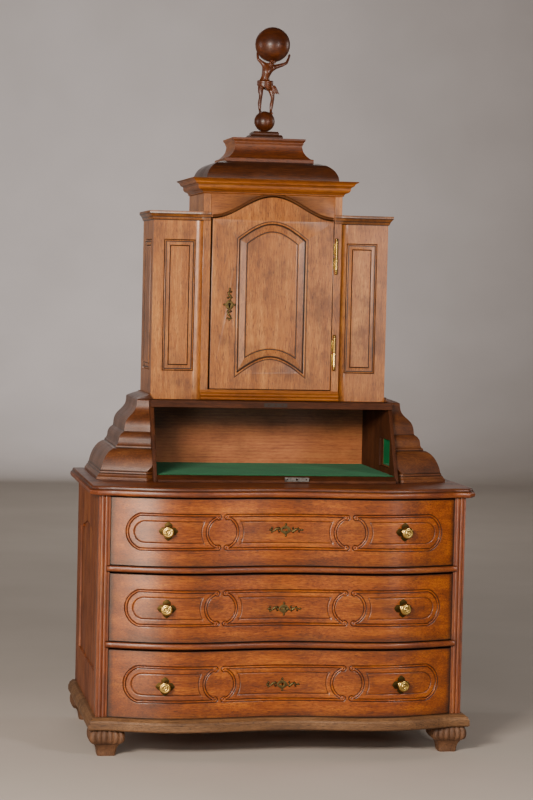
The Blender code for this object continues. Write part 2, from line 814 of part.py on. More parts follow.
def make_tray(name, foot, half):
    """Drawer sides, back and bottom behind the front."""
    outer = half - running_gap
    front_end = front_back_depth - seat_gap
    rear = board + tray_rear_room
    height = drawer_opening - tray_head_drop
    base = foot + (seat_gap if foot > case_foot else board + seat_gap)
    tray = block(name + "_drawer_tray", (-outer, outer), (y_at(front_end), y_at(rear)),
                 (base, foot + height), pine())
    inner = outer - tray_wall
    y_span = (y_at(front_end + overrun), y_at(rear + tray_wall))
    hollow = block(name + "_tray_hollow", (-inner, inner), y_span,
                   (base + tray_floor, foot + height + overrun))
    cut(tray, hollow)
    return tray


def make_knob(name, x, z):
    """A turned knob on a four-lobed rosette, square to the face where it stands."""
    slope = (bulge(x + running_gap) - bulge(x - running_gap)) / (2 * running_gap)
    turn = math.atan(-slope)
    profile = [(radius * knob_radius, height * knob_reach) for radius, height in knob_shares]
    profile += [(knob_radius * knob_collar_share, 0.0), (0.0, 0.0)]
    solid = turned_mesh(name + "_turned", profile)
    solid.transform(Matrix.Rotation(math.pi / 2, 4, "X"))
    petals = []
    for index in range(rosette_points):
        angle = 2 * math.pi * index / rosette_points
        reach = rosette_half * (1 - rosette_lobe_share * (1 - math.cos(rosette_lobes * angle)) / 2)
        petals.append((reach * math.cos(angle), reach * math.sin(angle)))
    plate = outline_mesh(name, [petals], plate_thick)
    depth = case_depth + bulge(x) + plate_thick / 2 + seat_gap
    place = (x, y_at(depth), z)
    knob = add_object(name, plate, place, brass(), turn)
    cut(knob, add_object(name + "_turned", solid, place, None, turn), "UNION")
    return knob


def make_key_plate(name, level):
    """Pierced key plate laid on the hollow middle of the front."""
    outline = plate_outline(plate_half_long, plate_half_high)
    mesh = outline_mesh(name + "_key_plate", [outline, list(reversed(keyhole_outline()))], plate_thick)
    wrap_to_front(mesh, case_depth + plate_thick / 2 + seat_gap)
    return add_object(name + "_key_plate", mesh, (0, 0, level), brass())


def make_drawer_lock(name, foot):
    """Iron lock case behind the front, with its bolt drawn down."""
    top = foot + drawer_opening - front_head_gap - front_foot_gap
    near = front_back_depth - seat_gap
    case = block(name + "_drawer_lock", (-lock_width / 2, lock_width / 2),
                 (y_at(near), y_at(near - lock_thick)), (top - lock_height, top), iron())
    half_x = bolt_width / 2 + seat_gap
    half_y = bolt_thick / 2 + seat_gap
    y_middle = y_at(lock_middle_depth())
    bolt_foot = top - lock_height / 2
    cut(case, block(name + "_bolt_way", (-half_x, half_x), (y_middle - half_y, y_middle + half_y),
                    (bolt_foot - seat_gap, top + overrun)))
    bolt = block(name + "_drawer_bolt", (-bolt_width / 2, bolt_width / 2),
                 (y_middle - bolt_thick / 2, y_middle + bolt_thick / 2), (bolt_foot, top), iron())
    return [case, bolt]


# Writing section

def make_flanks():
    """Moulded casings beside the writing compartment, hollow behind the wall windows."""
    splay = math.radians(flank_splay_deg)
    mitre = (1 - math.sin(splay)) / math.cos(splay)
    wall_outer = wall_inner_half + wall_thick + seat_gap
    base_corner = wing_half_width + 2 * seat_gap

    def plan(spread):
        corner_x = base_corner + spread
        corner_depth = flank_top_corner + mitre * spread
        inner_depth = corner_depth + (corner_x - inner_x) * math.tan(splay)
        return [(inner_x, y_at(inner_depth)), (corner_x, y_at(corner_depth)),
                (corner_x, y_at(wing_back_depth)), (inner_x, y_at(wing_back_depth))]

    inner_x = wing_half_width + seat_gap
    levels = [(share * flank_spread, height * flank_height) for share, height in flank_shares]
    for side, name in ((-1, "left"), (1, "right")):
        flank = stacked(name + "_flank", plan, levels, (0, 0, top_level + seat_gap), walnut())
        housing = block(name + "_flank_housing", (inner_x - overrun, wall_outer + seat_gap),
                        (y_at(wall_front_foot), y_at(0)),
                        (top_level - overrun, cabinet_level + seat_gap))
        cut(flank, housing)

        def hollow_plan(reach):
            corner_x = base_corner + reach
            near = flank_top_corner + mitre * reach - flank_wall
            inner_near = near + (corner_x - inner_x) * math.tan(splay)
            return [(inner_x - overrun, y_at(inner_near)), (corner_x, y_at(near)),
                    (corner_x, y_at(wing_back_depth + flank_wall)),
                    (inner_x - overrun, y_at(wing_back_depth + flank_wall))]

        hollow_levels = [(share * flank_spread, height * flank_height)
                         for share, height in flank_hollow_shares]
        hollow = stacked(name + "_flank_hollow", hollow_plan, hollow_levels, (0, 0, top_level))
        cut(flank, hollow)
        if side < 0:
            for piece in (flank, hollow, housing):
                mirror_mesh(piece)


def mirror_mesh(thing):
    """Turn a mesh over to the other hand, through the plane x = 0."""
    thing.data.transform(Matrix.Scale(-1, 4, Vector((1, 0, 0))))
    thing.data.flip_normals()
    thing.location.x = -thing.location.x


def make_writing_section():
    """Floor, baize, walls with windows and the top board."""
    back = upper_back_depth + board + seat_gap
    floor_half = wall_inner_half - seat_gap
    floor_levels = [(floor_front, top_level + seat_gap),
                    (floor_front - rim_width * rim_round_share, top_level + floor_thick * rim_level_share),
                    (floor_front - rim_width, top_level + floor_thick)]

    def floor_plan(depth):
        return [(-floor_half, y_at(depth)), (floor_half, y_at(depth)), (floor_half, y_at(back)),
                (-floor_half, y_at(back))]

    stacked("writing_floor", floor_plan, floor_levels, (0, 0, 0), worn())
    baize_front = floor_front - rim_width - seat_gap
    level = top_level + floor_thick + seat_gap
    block("baize", (-floor_half, floor_half), (y_at(baize_front), y_at(back)), (level, level + baize_thick),
          finish("green_baize", BAIZE, 0.95))
    foot = top_level + seat_gap
    head = board_level - seat_gap
    outline = [(y_at(wall_front_foot), foot), (y_at(back), foot), (y_at(back), head),
               (y_at(wall_front_head), head)]
    sill = top_level + floor_thick + window_foot_above_floor
    window = [(y_at(window_front), sill), (y_at(window_front), sill + window_height),
              (y_at(window_back), sill + window_height), (y_at(window_back), sill)]
    for side, name in ((-1, "left"), (1, "right")):
        mesh = outline_mesh(name + "_inner_wall", [outline, window], wall_thick)
        mesh.transform(Matrix.Rotation(math.pi / 2, 4, "Z"))
        add_object(name + "_inner_wall", mesh, (side * (wall_inner_half + wall_thick / 2), 0, 0), walnut())
    board_half = wall_inner_half + wall_thick
    block("writing_top", (-board_half, board_half), (y_at(top_board_front), y_at(back)),
          (board_level, cabinet_level - seat_gap), worn())


def make_upper_back():
    """One back board behind the writing compartment and the cabinet's centre."""
    low_half = wall_inner_half + wall_thick
    high_half = centre_half_width
    outline = [(-low_half, top_level + seat_gap), (low_half, top_level + seat_gap), (low_half, cabinet_level),
               (high_half, cabinet_level), (high_half, centre_head - seat_gap)]
    outline += [(-high_half, centre_head - seat_gap), (-high_half, cabinet_level), (-low_half, cabinet_level)]
    mesh = outline_mesh("upper_back", [outline], board)
    add_object("upper_back", mesh, (0, y_at(upper_back_depth + board / 2), 0), pine())


# Cabinet

def make_wings():
    """Cabinet wings: hollow casings with a cove to the centre, sunk panels and a small cornice."""
    inner = centre_half_width + seat_gap
    cove_reach = centre_front - wing_front
    inner_front = wing_front - wing_wall

    stile_end = opening_half + running_gap
    block_depth = centre_front + seat_gap
    cove = []
    for index in range(1, cove_segments + 1):
        angle = math.pi / 2 * index / cove_segments
        depth = wing_front + cove_reach * (1 - math.sin(angle))
        cove.append((inner + cove_width * (1 - math.cos(angle)), y_at(depth)))

    def plan(closed, share):
        reach = share * wing_cornice_reach
        nose = share * stile_block_reach
        hollow_x = inner if closed else wing_half_width - wing_wall
        if share:
            near = block_depth + nose
            front = [(inner + seat_gap, y_at(block_depth)), (stile_end, y_at(block_depth))]
            front.append((stile_end, y_at(near)))
            for index in range(cove_segments + 1):
                share_along = index / cove_segments
                depth = near + (wing_front + reach - near) * share_along
                front.append((inner + nose + cove_width * share_along, y_at(depth)))
            inset = seat_gap
        else:
            front = 4 * [(inner, y_at(centre_front))] + cove
            inset = 0.0
        rear = wing_back_depth + inset
        return [(inner, y_at(inner_front))] + front + [
            (wing_half_width + reach, y_at(wing_front + reach)), (wing_half_width + reach, y_at(rear)),
            (inner + inset, y_at(rear)), (inner, y_at(wing_back_depth + wing_wall)),
            (hollow_x, y_at(wing_back_depth + wing_wall)), (hollow_x, y_at(inner_front))]

    height = wing_height - seat_gap
    levels = [(False, 0.0, 0.0), (False, 0.0, height - wing_wall), (True, 0.0, height - wing_wall),
              (True, 0.0, height)]
    for share, rise in wing_cornice_shares:
        levels.append((True, share, height + rise * wing_cornice_height))
    for side, name in ((-1, "left"), (1, "right")):
        wing = stacked(name + "_wing", plan, levels, (0, 0, cabinet_level + seat_gap), oak())
        grooves = wing_grooves(name)
        for piece in [wing] + grooves:
            if side < 0:
                mirror_mesh(piece)
        for groove in grooves:
            cut(wing, groove)


def wing_grooves(name):
    """Sunk borders of the wing's front and side panels."""
    foot = cabinet_level + wing_panel_above
    head = foot + wing_panel_height
    middle = (foot + head) / 2
    half_height = wing_panel_height / 2

    def border(half_x, half_z, inset):
        outer = [(-half_x, -half_z), (half_x, -half_z), (half_x, half_z), (-half_x, half_z)]
        inner_x = half_x - inset
        inner_z = half_z - inset
        inner_loop = [(-inner_x, -inner_z), (-inner_x, inner_z), (inner_x, inner_z), (inner_x, -inner_z)]
        return [outer, inner_loop]

    front = outline_mesh(name + "_front_groove", border(wing_panel_half, half_height, wing_panel_groove),
                         2 * wing_groove_depth)
    front_cut = add_object(name + "_front_groove", front, (wing_panel_at, y_at(wing_front), middle))
    side = outline_mesh(name + "_side_groove", border(side_panel_half_depth, half_height, wing_panel_groove),
                        2 * wing_groove_depth)
    side.transform(Matrix.Rotation(math.pi / 2, 4, "Z"))
    side_depth = (wing_back_depth + wing_front) / 2
    side_cut = add_object(name + "_side_groove", side, (wing_half_width, y_at(side_depth), middle))
    return [front_cut, side_cut]


def arch_outline(half, foot, shoulder, rise):
    """A door-shaped outline: square foot, flat shoulders, and a head that swells in an ogee."""
    points = [(-half, foot), (half, foot)]
    for index in range(arch_segments + 1):
        share = 1 - 2 * index / arch_segments
        points.append((half * share, shoulder + rise * (1 + math.cos(math.pi * share)) / 2))
    return points


def make_centre():
    """The cabinet's centre: stiles, arched frieze, cheeks and a reeded foot rail, in one carcase."""
    back = upper_back_depth + board + seat_gap
    foot = cabinet_level + seat_gap
    head = centre_head - seat_gap
    carcase = block("centre_carcase", (-centre_half_width, centre_half_width),
                    (y_at(centre_front), y_at(back)), (foot, head), oak())
    inner = centre_half_width - cheek_thick
    y_span = (y_at(centre_front - centre_thick), y_at(back - overrun))
    cut(carcase, block("centre_hollow", (-inner, inner), y_span, (foot - overrun, head + overrun)))
    door_foot = cabinet_level + foot_rail_height
    shoulder = cabinet_level + arch_shoulder
    opening = outline_mesh("door_opening", [arch_outline(opening_half, door_foot, shoulder, arch_rise)],
                           2 * centre_thick + 2 * overrun)
    cut(carcase, add_object("door_opening", opening, (0, y_at(centre_front), 0)))
    reed = (foot_rail_height - 3 * seat_gap) / (foot_rail_reeds + 1)
    outline = [(0.0, 0.0), (foot_rail_reach - reed / 2, 0.0)]
    for index in range(foot_rail_reeds):
        outline += arc((foot_rail_reach - reed / 2, reed * (index + 0.5)), reed / 2, -90, 90, 6)[1:]
    outline.append((foot_rail_reach - reed, reed * foot_rail_reeds))
    outline.append((0.0, reed * (foot_rail_reeds + 1)))
    half = centre_half_width - seat_gap
    rail = rail_along_x("foot_rail", outline, half, (0, y_at(centre_front), foot + seat_gap))
    cut(carcase, rail, "UNION")


def rail_along_x(name, outline, half, place):
    """A moulding whose section (reach, height) runs along X and stands out towards -Y."""
    sunk = [(reach if reach > 0 else -overrun, height) for reach, height in outline]
    mesh = outline_mesh(name, [sunk], 2 * half)
    mesh.transform(Matrix.Rotation(-math.pi / 2, 4, "Z"))
    return add_object(name, mesh, place)


def make_door():
    """The arched door with its panel, key plate, lock and bolt, turning on the hinge line."""
    hinge = bpy.data.objects.new("door_hinge_line", None)
    hinge.location = (hinge_x(), y_at(hinge_depth()), cabinet_level)
    parts.objects.link(hinge)
    half = opening_half - door_gap
    foot = cabinet_level + foot_rail_height + door_gap
    shoulder = cabinet_level + arch_shoulder - door_gap
    middle_depth = centre_front + door_proud - door_thick / 2
    outer = arch_outline(half, foot, shoulder, arch_rise)
    inner = panel_outline(0.0)
    mesh = outline_mesh("door_frame", [outer, list(reversed(inner))], door_thick)
    frame = add_object("door_frame", mesh, (0, y_at(middle_depth), 0), oak())
    keyway = outline_mesh("door_keyway", [keyhole_outline()], 2 * door_thick)
    plate_z = cabinet_level + door_plate_above
    cut(frame, add_object("door_keyway", keyway, (door_plate_x, y_at(middle_depth), plate_z)))
    members = [frame, make_door_panel(), make_door_plate(plate_z)]
    members += make_door_lock(frame, plate_z, half)
    members += [make_hinge_half("upper", True, frame), make_hinge_half("lower", True, frame)]
    make_hinge_half("upper", False, frame)
    make_hinge_half("lower", False, frame)
    for member in members:
        bpy.context.view_layer.update()
        member.parent = hinge
        member.matrix_parent_inverse = hinge.matrix_world.inverted()


def panel_outline(inset):
    """The door panel: straight sides, arched head and a foot that arches up."""
    half = panel_half - inset
    foot = cabinet_level + foot_rail_height + panel_foot_shoulder + inset
    head = cabinet_level + foot_rail_height + panel_head_shoulder - inset
    points = []
    for index in range(panel_segments + 1):
        share = 2 * index / panel_segments - 1
        points.append((half * share, foot + panel_foot_rise * math.cos(math.pi / 2 * share)))
    for index in range(panel_segments + 1):
        share = 1 - 2 * index / panel_segments
        points.append((half * share, head + panel_head_rise * math.cos(math.pi / 2 * share)))
    return points


def make_door_panel():
    """A fielded panel set back inside the door frame."""
    mesh = outline_mesh("door_panel", [panel_outline(seat_gap)], door_panel_thick)
    depth = centre_front + door_proud - door_panel_set_back - door_panel_thick / 2
    panel = add_object("door_panel", mesh, (0, y_at(depth), 0), oak())
    field = outline_mesh("door_field", [panel_outline(field_margin)], door_panel_thick)
    cut(panel, add_object("door_field", field, (0, y_at(depth + field_rise), 0)), "UNION")
    return panel


def make_door_plate(plate_z):
    """Upright pierced key plate."""
    outline = [(z, x) for x, z in plate_outline(door_plate_half_long, door_plate_half_wide)]
    loops = [list(reversed(outline)), list(reversed(keyhole_outline()))]
    mesh = outline_mesh("door_key_plate", loops, plate_thick)
    depth = centre_front + door_proud + plate_thick / 2 + seat_gap
    return add_object("door_key_plate", mesh, (door_plate_x, y_at(depth), plate_z), brass())


def make_door_lock(frame, plate_z, half):
    """Iron lock case behind the door's left stile, with its bolt drawn in."""
    near = centre_front + door_proud - door_thick - seat_gap
    left = -half
    right = left + door_lock_width
    case = block("door_lock", (left, right), (y_at(near), y_at(near - lock_thick)),
                 (plate_z - door_lock_height / 2, plate_z + door_lock_height / 2), iron())
    middle = near - lock_thick / 2
    half_y = bolt_thick / 2 + seat_gap
    half_z = bolt_width / 2 + seat_gap
    end = left + door_lock_width / 2
    y_span = (y_at(middle + half_y), y_at(middle - half_y))
    cut(case, block("door_bolt_way", (left - overrun, end + seat_gap), y_span,
                    (plate_z - half_z, plate_z + half_z)))
    bolt = block("door_bolt", (left, end), (y_at(middle + bolt_thick / 2), y_at(middle - bolt_thick / 2)),
                 (plate_z - bolt_width / 2, plate_z + bolt_width / 2), iron())
    return [case, bolt]


def hinge_x():
    return opening_half - door_gap + hinge_offset


def hinge_depth():
    return centre_front + door_proud + hinge_radius + seat_gap


def make_hinge_half(level, moving, frame):
    """One half of a pin hinge: a finial, half the barrel, and the leaf let into the door's edge gap."""
    above = hinge_upper_above if level == "upper" else hinge_lower_above
    middle = cabinet_level + above
    half_height = hinge_height / 2
    sign = 1 if moving else -1
    profile = [(radius * finial_radius, height * half_height) for radius, height in hinge_finial_shares]
    profile += [
        (hinge_radius * hinge_collar_share, half_height * hinge_collar_level_share),
        (hinge_radius, half_height * hinge_barrel_level_share), (hinge_radius, seat_gap / 2),
        (0.0, seat_gap / 2)]
    name = level + ("_hinge_door_half" if moving else "_hinge_frame_half")
    solid = turned_mesh(name, profile)
    if sign < 0:
        solid.transform(Matrix.Scale(-1, 4, Vector((0, 0, 1))))
        solid.flip_normals()
    place = (hinge_x(), y_at(hinge_depth()), middle)
    barrel = add_object(name, solid, place, brass())
    low, high = sorted(middle + sign * half_height * share for share in hinge_leaf_shares)
    strap_back = centre_front + door_proud + seat_gap
    edge = opening_half - door_gap + seat_gap
    far = edge if moving else opening_half - seat_gap - hinge_leaf
    y_span = (y_at(strap_back + hinge_leaf), y_at(strap_back))
    strap = block(name + "_strap", (far, hinge_x()), y_span, (low, high))
    cut(barrel, strap, "UNION")
    leaf_front = y_at(strap_back + hinge_leaf / 2)
    leaf = block(name + "_leaf", (far, far + hinge_leaf), (leaf_front, y_at(strap_back - hinge_leaf_depth)),
                 (low, high))
    cut(barrel, leaf, "UNION")
    return barrel


# Top works

def make_top_works():
    """Main cornice, dome and coved block with its steps."""
    def cornice_plan(share):
        reach = share * cornice_reach
        half = centre_half_width + reach
        return [(-half, y_at(centre_front + reach)), (half, y_at(centre_front + reach)),
                (half, y_at(upper_back_depth)), (-half, y_at(upper_back_depth))]

    levels = [(share, height * cornice_height) for share, height in cornice_shares]
    stacked("main_cornice", cornice_plan, levels, (0, 0, centre_head), oak())

    def dome_plan(share):
        half = dome_foot_half + (dome_head_half - dome_foot_half) * share
        front = dome_front + (dome_head_front - dome_front) * share
        return [(-half, y_at(front)), (half, y_at(front)), (half, y_at(top_back_depth)),
                (-half, y_at(top_back_depth))]

    dome_levels = []
    for index in range(dome_segments + 1):
        angle = math.pi / 2 * index / dome_segments
        dome_levels.append((1 - math.cos(angle), seat_gap + (dome_height - 2 * seat_gap) * math.sin(angle)))
    stacked("dome", dome_plan, dome_levels, (0, 0, cornice_head), finish("dark_walnut", DARK, 0.5), True)
    make_cove_block()


def make_cove_block():
    """Coved block on the dome, with the two steps that carry the figure."""
    half_depth = (dome_head_front - top_back_depth) / 2
    narrow = half_depth / cove_foot_half
    fillet = cove_block_height * cove_fillet_share
    neck_level = cove_block_height * cove_neck_share
    head_fillet = cove_block_height * cove_head_share
    flare_half = cove_neck_half + (cove_head_half - cove_neck_half) * cove_flare_share
    levels = [(cove_foot_half - seat_gap, seat_gap), (cove_foot_half - seat_gap, fillet)]
    for index in range(1, cove_segments + 1):
        angle = math.pi / 2 * index / cove_segments
        half = cove_foot_half - (cove_foot_half - cove_neck_half) * math.sin(angle) - seat_gap
        levels.append((half, fillet + (neck_level - fillet) * (1 - math.cos(angle))))
    levels += [(cove_neck_half, cove_block_height * cove_flare_foot_share), (flare_half, head_fillet),
               (cove_head_half, head_fillet + seat_gap), (cove_head_half, cove_block_height - seat_gap)]

    def plan(half):
        return rectangle(half, half * narrow)

    place = (0, y_at(block_middle_depth), dome_head)
    cove = stacked("cove_block", plan, levels, place, oak())
    foot = cove_block_height - overrun
    top = cove_block_height
    for index in range(len(step_heights)):
        top += step_heights[index]
        half = step_halves[index]
        deep = step_half_depths[index]

        def step_plan(inset):
            return rectangle(half - inset, deep - inset)

        edge = step_heights[index] * step_edge_share
        step = stacked("figure_step_%d" % (index + 1), step_plan,
                       [(0.0, foot), (0.0, top - edge), (edge, top - (seat_gap if index else 0))], place)
        cut(cove, step, "UNION")
        foot = top - overrun


def rectangle(half_x, half_y):
    return [(-half_x, -half_y), (half_x, -half_y), (half_x, half_y), (-half_x, half_y)]


# Figure

def make_figure():
    """A carved figure on a ball, shoulders under the globe; limbs are skinned on a stick frame."""
    scale = figure_height
    names = list(figure_shares)
    shape = bmesh.new()
    layer = shape.verts.layers.skin.verify()
    spots = {}
    for name in names:
        (x, y, z), radius = figure_shares[name]
        vertex = shape.verts.new((x * scale, y * scale, z * scale))
        vertex[layer].radius = (radius * scale, radius * scale)
        vertex[layer].use_root = name == "pelvis"
        spots[name] = vertex
    for start, end in figure_bones:
        shape.edges.new((spots[start], spots[end]))
    mesh = bpy.data.meshes.new("figure_limbs")
    shape.to_mesh(mesh)
    shape.free()
    limbs = add_object("figure_limbs", mesh)
    limbs.modifiers.new("skin", "SKIN")
    smooth = limbs.modifiers.new("round", "SUBSURF")
    smooth.levels = 1
    smooth.render_levels = 1
    bpy.context.view_layer.update()
    graph = bpy.context.evaluated_depsgraph_get()
    body = bpy.data.meshes.new_from_object(limbs.evaluated_get(graph))
    bpy.data.objects.remove(limbs, do_unlink=True)
    shape = bmesh.new()
    shape.from_mesh(body)
    bmesh.ops.create_uvsphere(shape, u_segments=ball_segments, v_segments=ball_segments // 2,
                              radius=ball_radius)
    shape.to_mesh(body)
    shape.free()
    place = (0, y_at(block_middle_depth), ball_level)
    figure = add_object("figure", body, place, finish("dark_carved_walnut", DARK, 0.4))
    remesh = figure.modifiers.new("carve", "REMESH")
    remesh.mode = "VOXEL"
    remesh.voxel_size = figure_voxel_share * scale
    thin = figure.modifiers.new("thin", "DECIMATE")
    thin.ratio = figure_keep_share
    globe_mesh = sphere_mesh("globe", globe_radius)
    globe_place = (globe_aside, place[1], place[2] + figure_height)
    globe = add_object("globe", globe_mesh, globe_place, finish("dark_turned_walnut", DARK, 0.35))
    globe_mesh.shade_smooth()
    seat = add_object("globe_seat", sphere_mesh("globe_seat", globe_radius + seat_gap), globe_place)
    cut(figure, seat)
    return globe


def sphere_mesh(name, radius):
    shape = bmesh.new()
    bmesh.ops.create_uvsphere(shape, u_segments=globe_segments, v_segments=globe_segments // 2, radius=radius)
    mesh = bpy.data.meshes.new(name)
    shape.to_mesh(mesh)
    shape.free()
    return mesh


make_case()
make_dividers()
make_plinth_and_feet()
make_top_plate()
for drawer_number, drawer_name in enumerate(("bottom", "middle", "top")):
    make_drawer(drawer_number, drawer_name)
make_flanks()
make_writing_section()
make_upper_back()
make_wings()
make_centre()
make_door()
make_top_works()
make_figure()
bpy.context.view_layer.update()
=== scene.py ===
# %% [markdown]
# # A tabernacle secretary, dressed for its photograph
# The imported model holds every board, bolt and hinge at its real size. This script puts the looks on
# it: finer mouldings, carved lines, turned brass and the finish of each surface. It works in metres
# in the model's own frame, with the front towards -Y and the floor at z = 0.

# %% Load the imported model
import json
import math

import bmesh
import bpy
from mathutils import Matrix, Vector
from mathutils.geometry import delaunay_2d_cdt


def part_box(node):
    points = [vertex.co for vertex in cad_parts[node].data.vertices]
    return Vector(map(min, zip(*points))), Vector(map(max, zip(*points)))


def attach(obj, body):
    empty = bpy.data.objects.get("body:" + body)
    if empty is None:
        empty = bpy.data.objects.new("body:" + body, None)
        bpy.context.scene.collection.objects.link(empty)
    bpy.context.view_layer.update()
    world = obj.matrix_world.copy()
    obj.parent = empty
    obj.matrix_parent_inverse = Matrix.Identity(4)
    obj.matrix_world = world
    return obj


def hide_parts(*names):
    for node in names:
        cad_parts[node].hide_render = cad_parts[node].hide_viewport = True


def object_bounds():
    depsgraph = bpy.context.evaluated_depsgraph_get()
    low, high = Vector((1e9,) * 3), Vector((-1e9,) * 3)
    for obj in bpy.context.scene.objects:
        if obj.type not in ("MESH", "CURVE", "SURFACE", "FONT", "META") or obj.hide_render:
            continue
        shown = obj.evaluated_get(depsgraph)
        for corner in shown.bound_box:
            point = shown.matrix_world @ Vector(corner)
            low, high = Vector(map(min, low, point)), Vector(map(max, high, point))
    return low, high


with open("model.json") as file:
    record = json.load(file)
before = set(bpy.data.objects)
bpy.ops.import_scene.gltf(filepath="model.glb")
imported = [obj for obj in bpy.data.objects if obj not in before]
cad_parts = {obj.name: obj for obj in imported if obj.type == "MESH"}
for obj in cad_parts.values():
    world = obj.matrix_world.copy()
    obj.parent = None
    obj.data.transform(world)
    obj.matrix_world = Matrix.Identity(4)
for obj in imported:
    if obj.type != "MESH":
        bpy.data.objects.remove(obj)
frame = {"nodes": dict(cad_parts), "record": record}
cad_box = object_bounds()
body_of = {node: body for body, nodes in frame["record"]["behaviour"]["bodies"].items() for node in nodes}

# %% [markdown]
# ## The camera
# The photographer stood in front and a little to the left, with a long lens at about the height of
# the cabinet's foot. The place and the three turns were fitted to the chest's corners, the cornice and
# the globe. Blender's camera looks down its own -Z, so its matrix holds the right, up and back vectors.

# %% Camera
eye = Vector((-1.3089, -7.3296, 1.4692))
yaw, pitch, roll = 0.174776, 0.051262, 0.023090
focal_px, photo_height = 2320.07, 800
film_mm = 36.0

ahead = Vector((math.sin(yaw) * math.cos(pitch), math.cos(yaw) * math.cos(pitch), -math.sin(pitch)))
level_right = Vector((math.cos(yaw), -math.sin(yaw), 0.0))
level_up = level_right.cross(ahead)
right = math.cos(roll) * level_right + math.sin(roll) * level_up
up = -math.sin(roll) * level_right + math.cos(roll) * level_up
lens = bpy.data.cameras.new("photo_camera")
lens.sensor_width = film_mm
lens.lens = focal_px * film_mm / photo_height
camera = bpy.data.objects.new("photo_camera", lens)
camera.matrix_world = Matrix.Translation(eye) @ Matrix((right, up, -ahead)).transposed().to_4x4()
bpy.context.scene.collection.objects.link(camera)
bpy.context.scene.camera = camera
print("lens %.1f mm" % lens.lens)

# %% [markdown]
# ## Colours and nodes
# Colours are picked as screen values, which are sRGB, and Blender's shaders work on linear light, so
# one function turns one into the other. A second one adds a node, with its settings and its links, and
# every material below is written with those two and a few short names for what is asked for often.

# %% Colour, node and mesh helpers
def srgb(code, alpha=1.0):
    """Linear colour of a screen value such as #9A4E22."""
    parts = [int(code[place:place + 2], 16) / 255 for place in (1, 3, 5)]
    return tuple(p / 12.92 if p <= 0.04045 else ((p + 0.055) / 1.055) ** 2.4 for p in parts) + (alpha,)


def add(tree, kind, inputs=None, **settings):
    """Add one node: settings are its own properties, inputs are values or the sockets they come from."""
    node = tree.nodes.new(kind)
    for name, value in settings.items():
        setattr(node, name, value)
    for key, value in (inputs or {}).items():
        if isinstance(value, bpy.types.NodeSocket):
            tree.links.new(value, node.inputs[key])
        else:
            node.inputs[key].default_value = value
    return node


def ramp(tree, factor, stops):
    """A colour ramp through (place, colour) stops."""
    node = add(tree, "ShaderNodeValToRGB", {"Fac": factor})
    for index, (place, colour) in enumerate(stops):
        stop = node.color_ramp.elements[index] if index < 2 else node.color_ramp.elements.new(place)
        stop.position = place
        stop.color = colour
    return node.outputs["Color"]


def new_material(name):
    """An empty material with only its output, and its node tree."""
    material = bpy.data.materials.new(name)
    material.use_nodes = True
    material.node_tree.nodes.clear()
    add(material.node_tree, "ShaderNodeOutputMaterial")
    return material, material.node_tree


def finish(tree, inputs):
    """Give a material its one shader, linked to the output that new_material made."""
    shader = add(tree, "ShaderNodeBsdfPrincipled", inputs)
    tree.links.new(shader.outputs[0], tree.nodes[0].inputs[0])


def noise(tree, vector, grain_mm, detail, rough=0.5):
    """Cloudy noise with lumps of about grain_mm."""
    return add(tree, "ShaderNodeTexNoise", {"Vector": vector, "Scale": 1000 / grain_mm, "Detail": detail,
                                            "Roughness": rough}).outputs["Fac"]


def spread(tree, value, low, high, to_low=0.0, to_high=1.0):
    """A value carried from one range to another and held at the ends."""
    return add(tree, "ShaderNodeMapRange", {"Value": value, "From Min": low, "From Max": high,
                                            "To Min": to_low, "To Max": to_high}).outputs[0]


def mixed(tree, share, first, second):
    """Two colours mixed by a share of the second."""
    return add(tree, "ShaderNodeMixRGB", {"Fac": share, "Color1": first, "Color2": second}).outputs[0]


def reckoned(tree, operation, first, second):
    """Two values added, multiplied and so on."""
    return add(tree, "ShaderNodeMath", {0: first, 1: second}, operation=operation).outputs[0]


def painted(tree, name):
    """The value that a piece carries under this name, as paint wrote it."""
    return add(tree, "ShaderNodeAttribute", attribute_name=name).outputs["Fac"]


def new_piece(name, points, edges, faces):
    """A mesh object of these points, edges and faces, linked to the scene."""
    mesh = bpy.data.meshes.new(name)
    mesh.from_pydata(points, edges, faces)
    piece = bpy.data.objects.new(name, mesh)
    bpy.context.scene.collection.objects.link(piece)
    return piece


print("orange brown is", [round(part, 3) for part in srgb("#9A4E22")])

# %% [markdown]
# ## The studio
# A pale floor runs up into a grey wall with no corner between them. The room is round, so every side of
# the chest is seen against the same wall. High softboxes light the wood from the left and the right, high
# enough to leave the floor under the chest dark. Three panels are there only to be mirrored in the wax,
# as the sheen on the swellings. A separate light on the wall leaves the far edge of the floor dim.

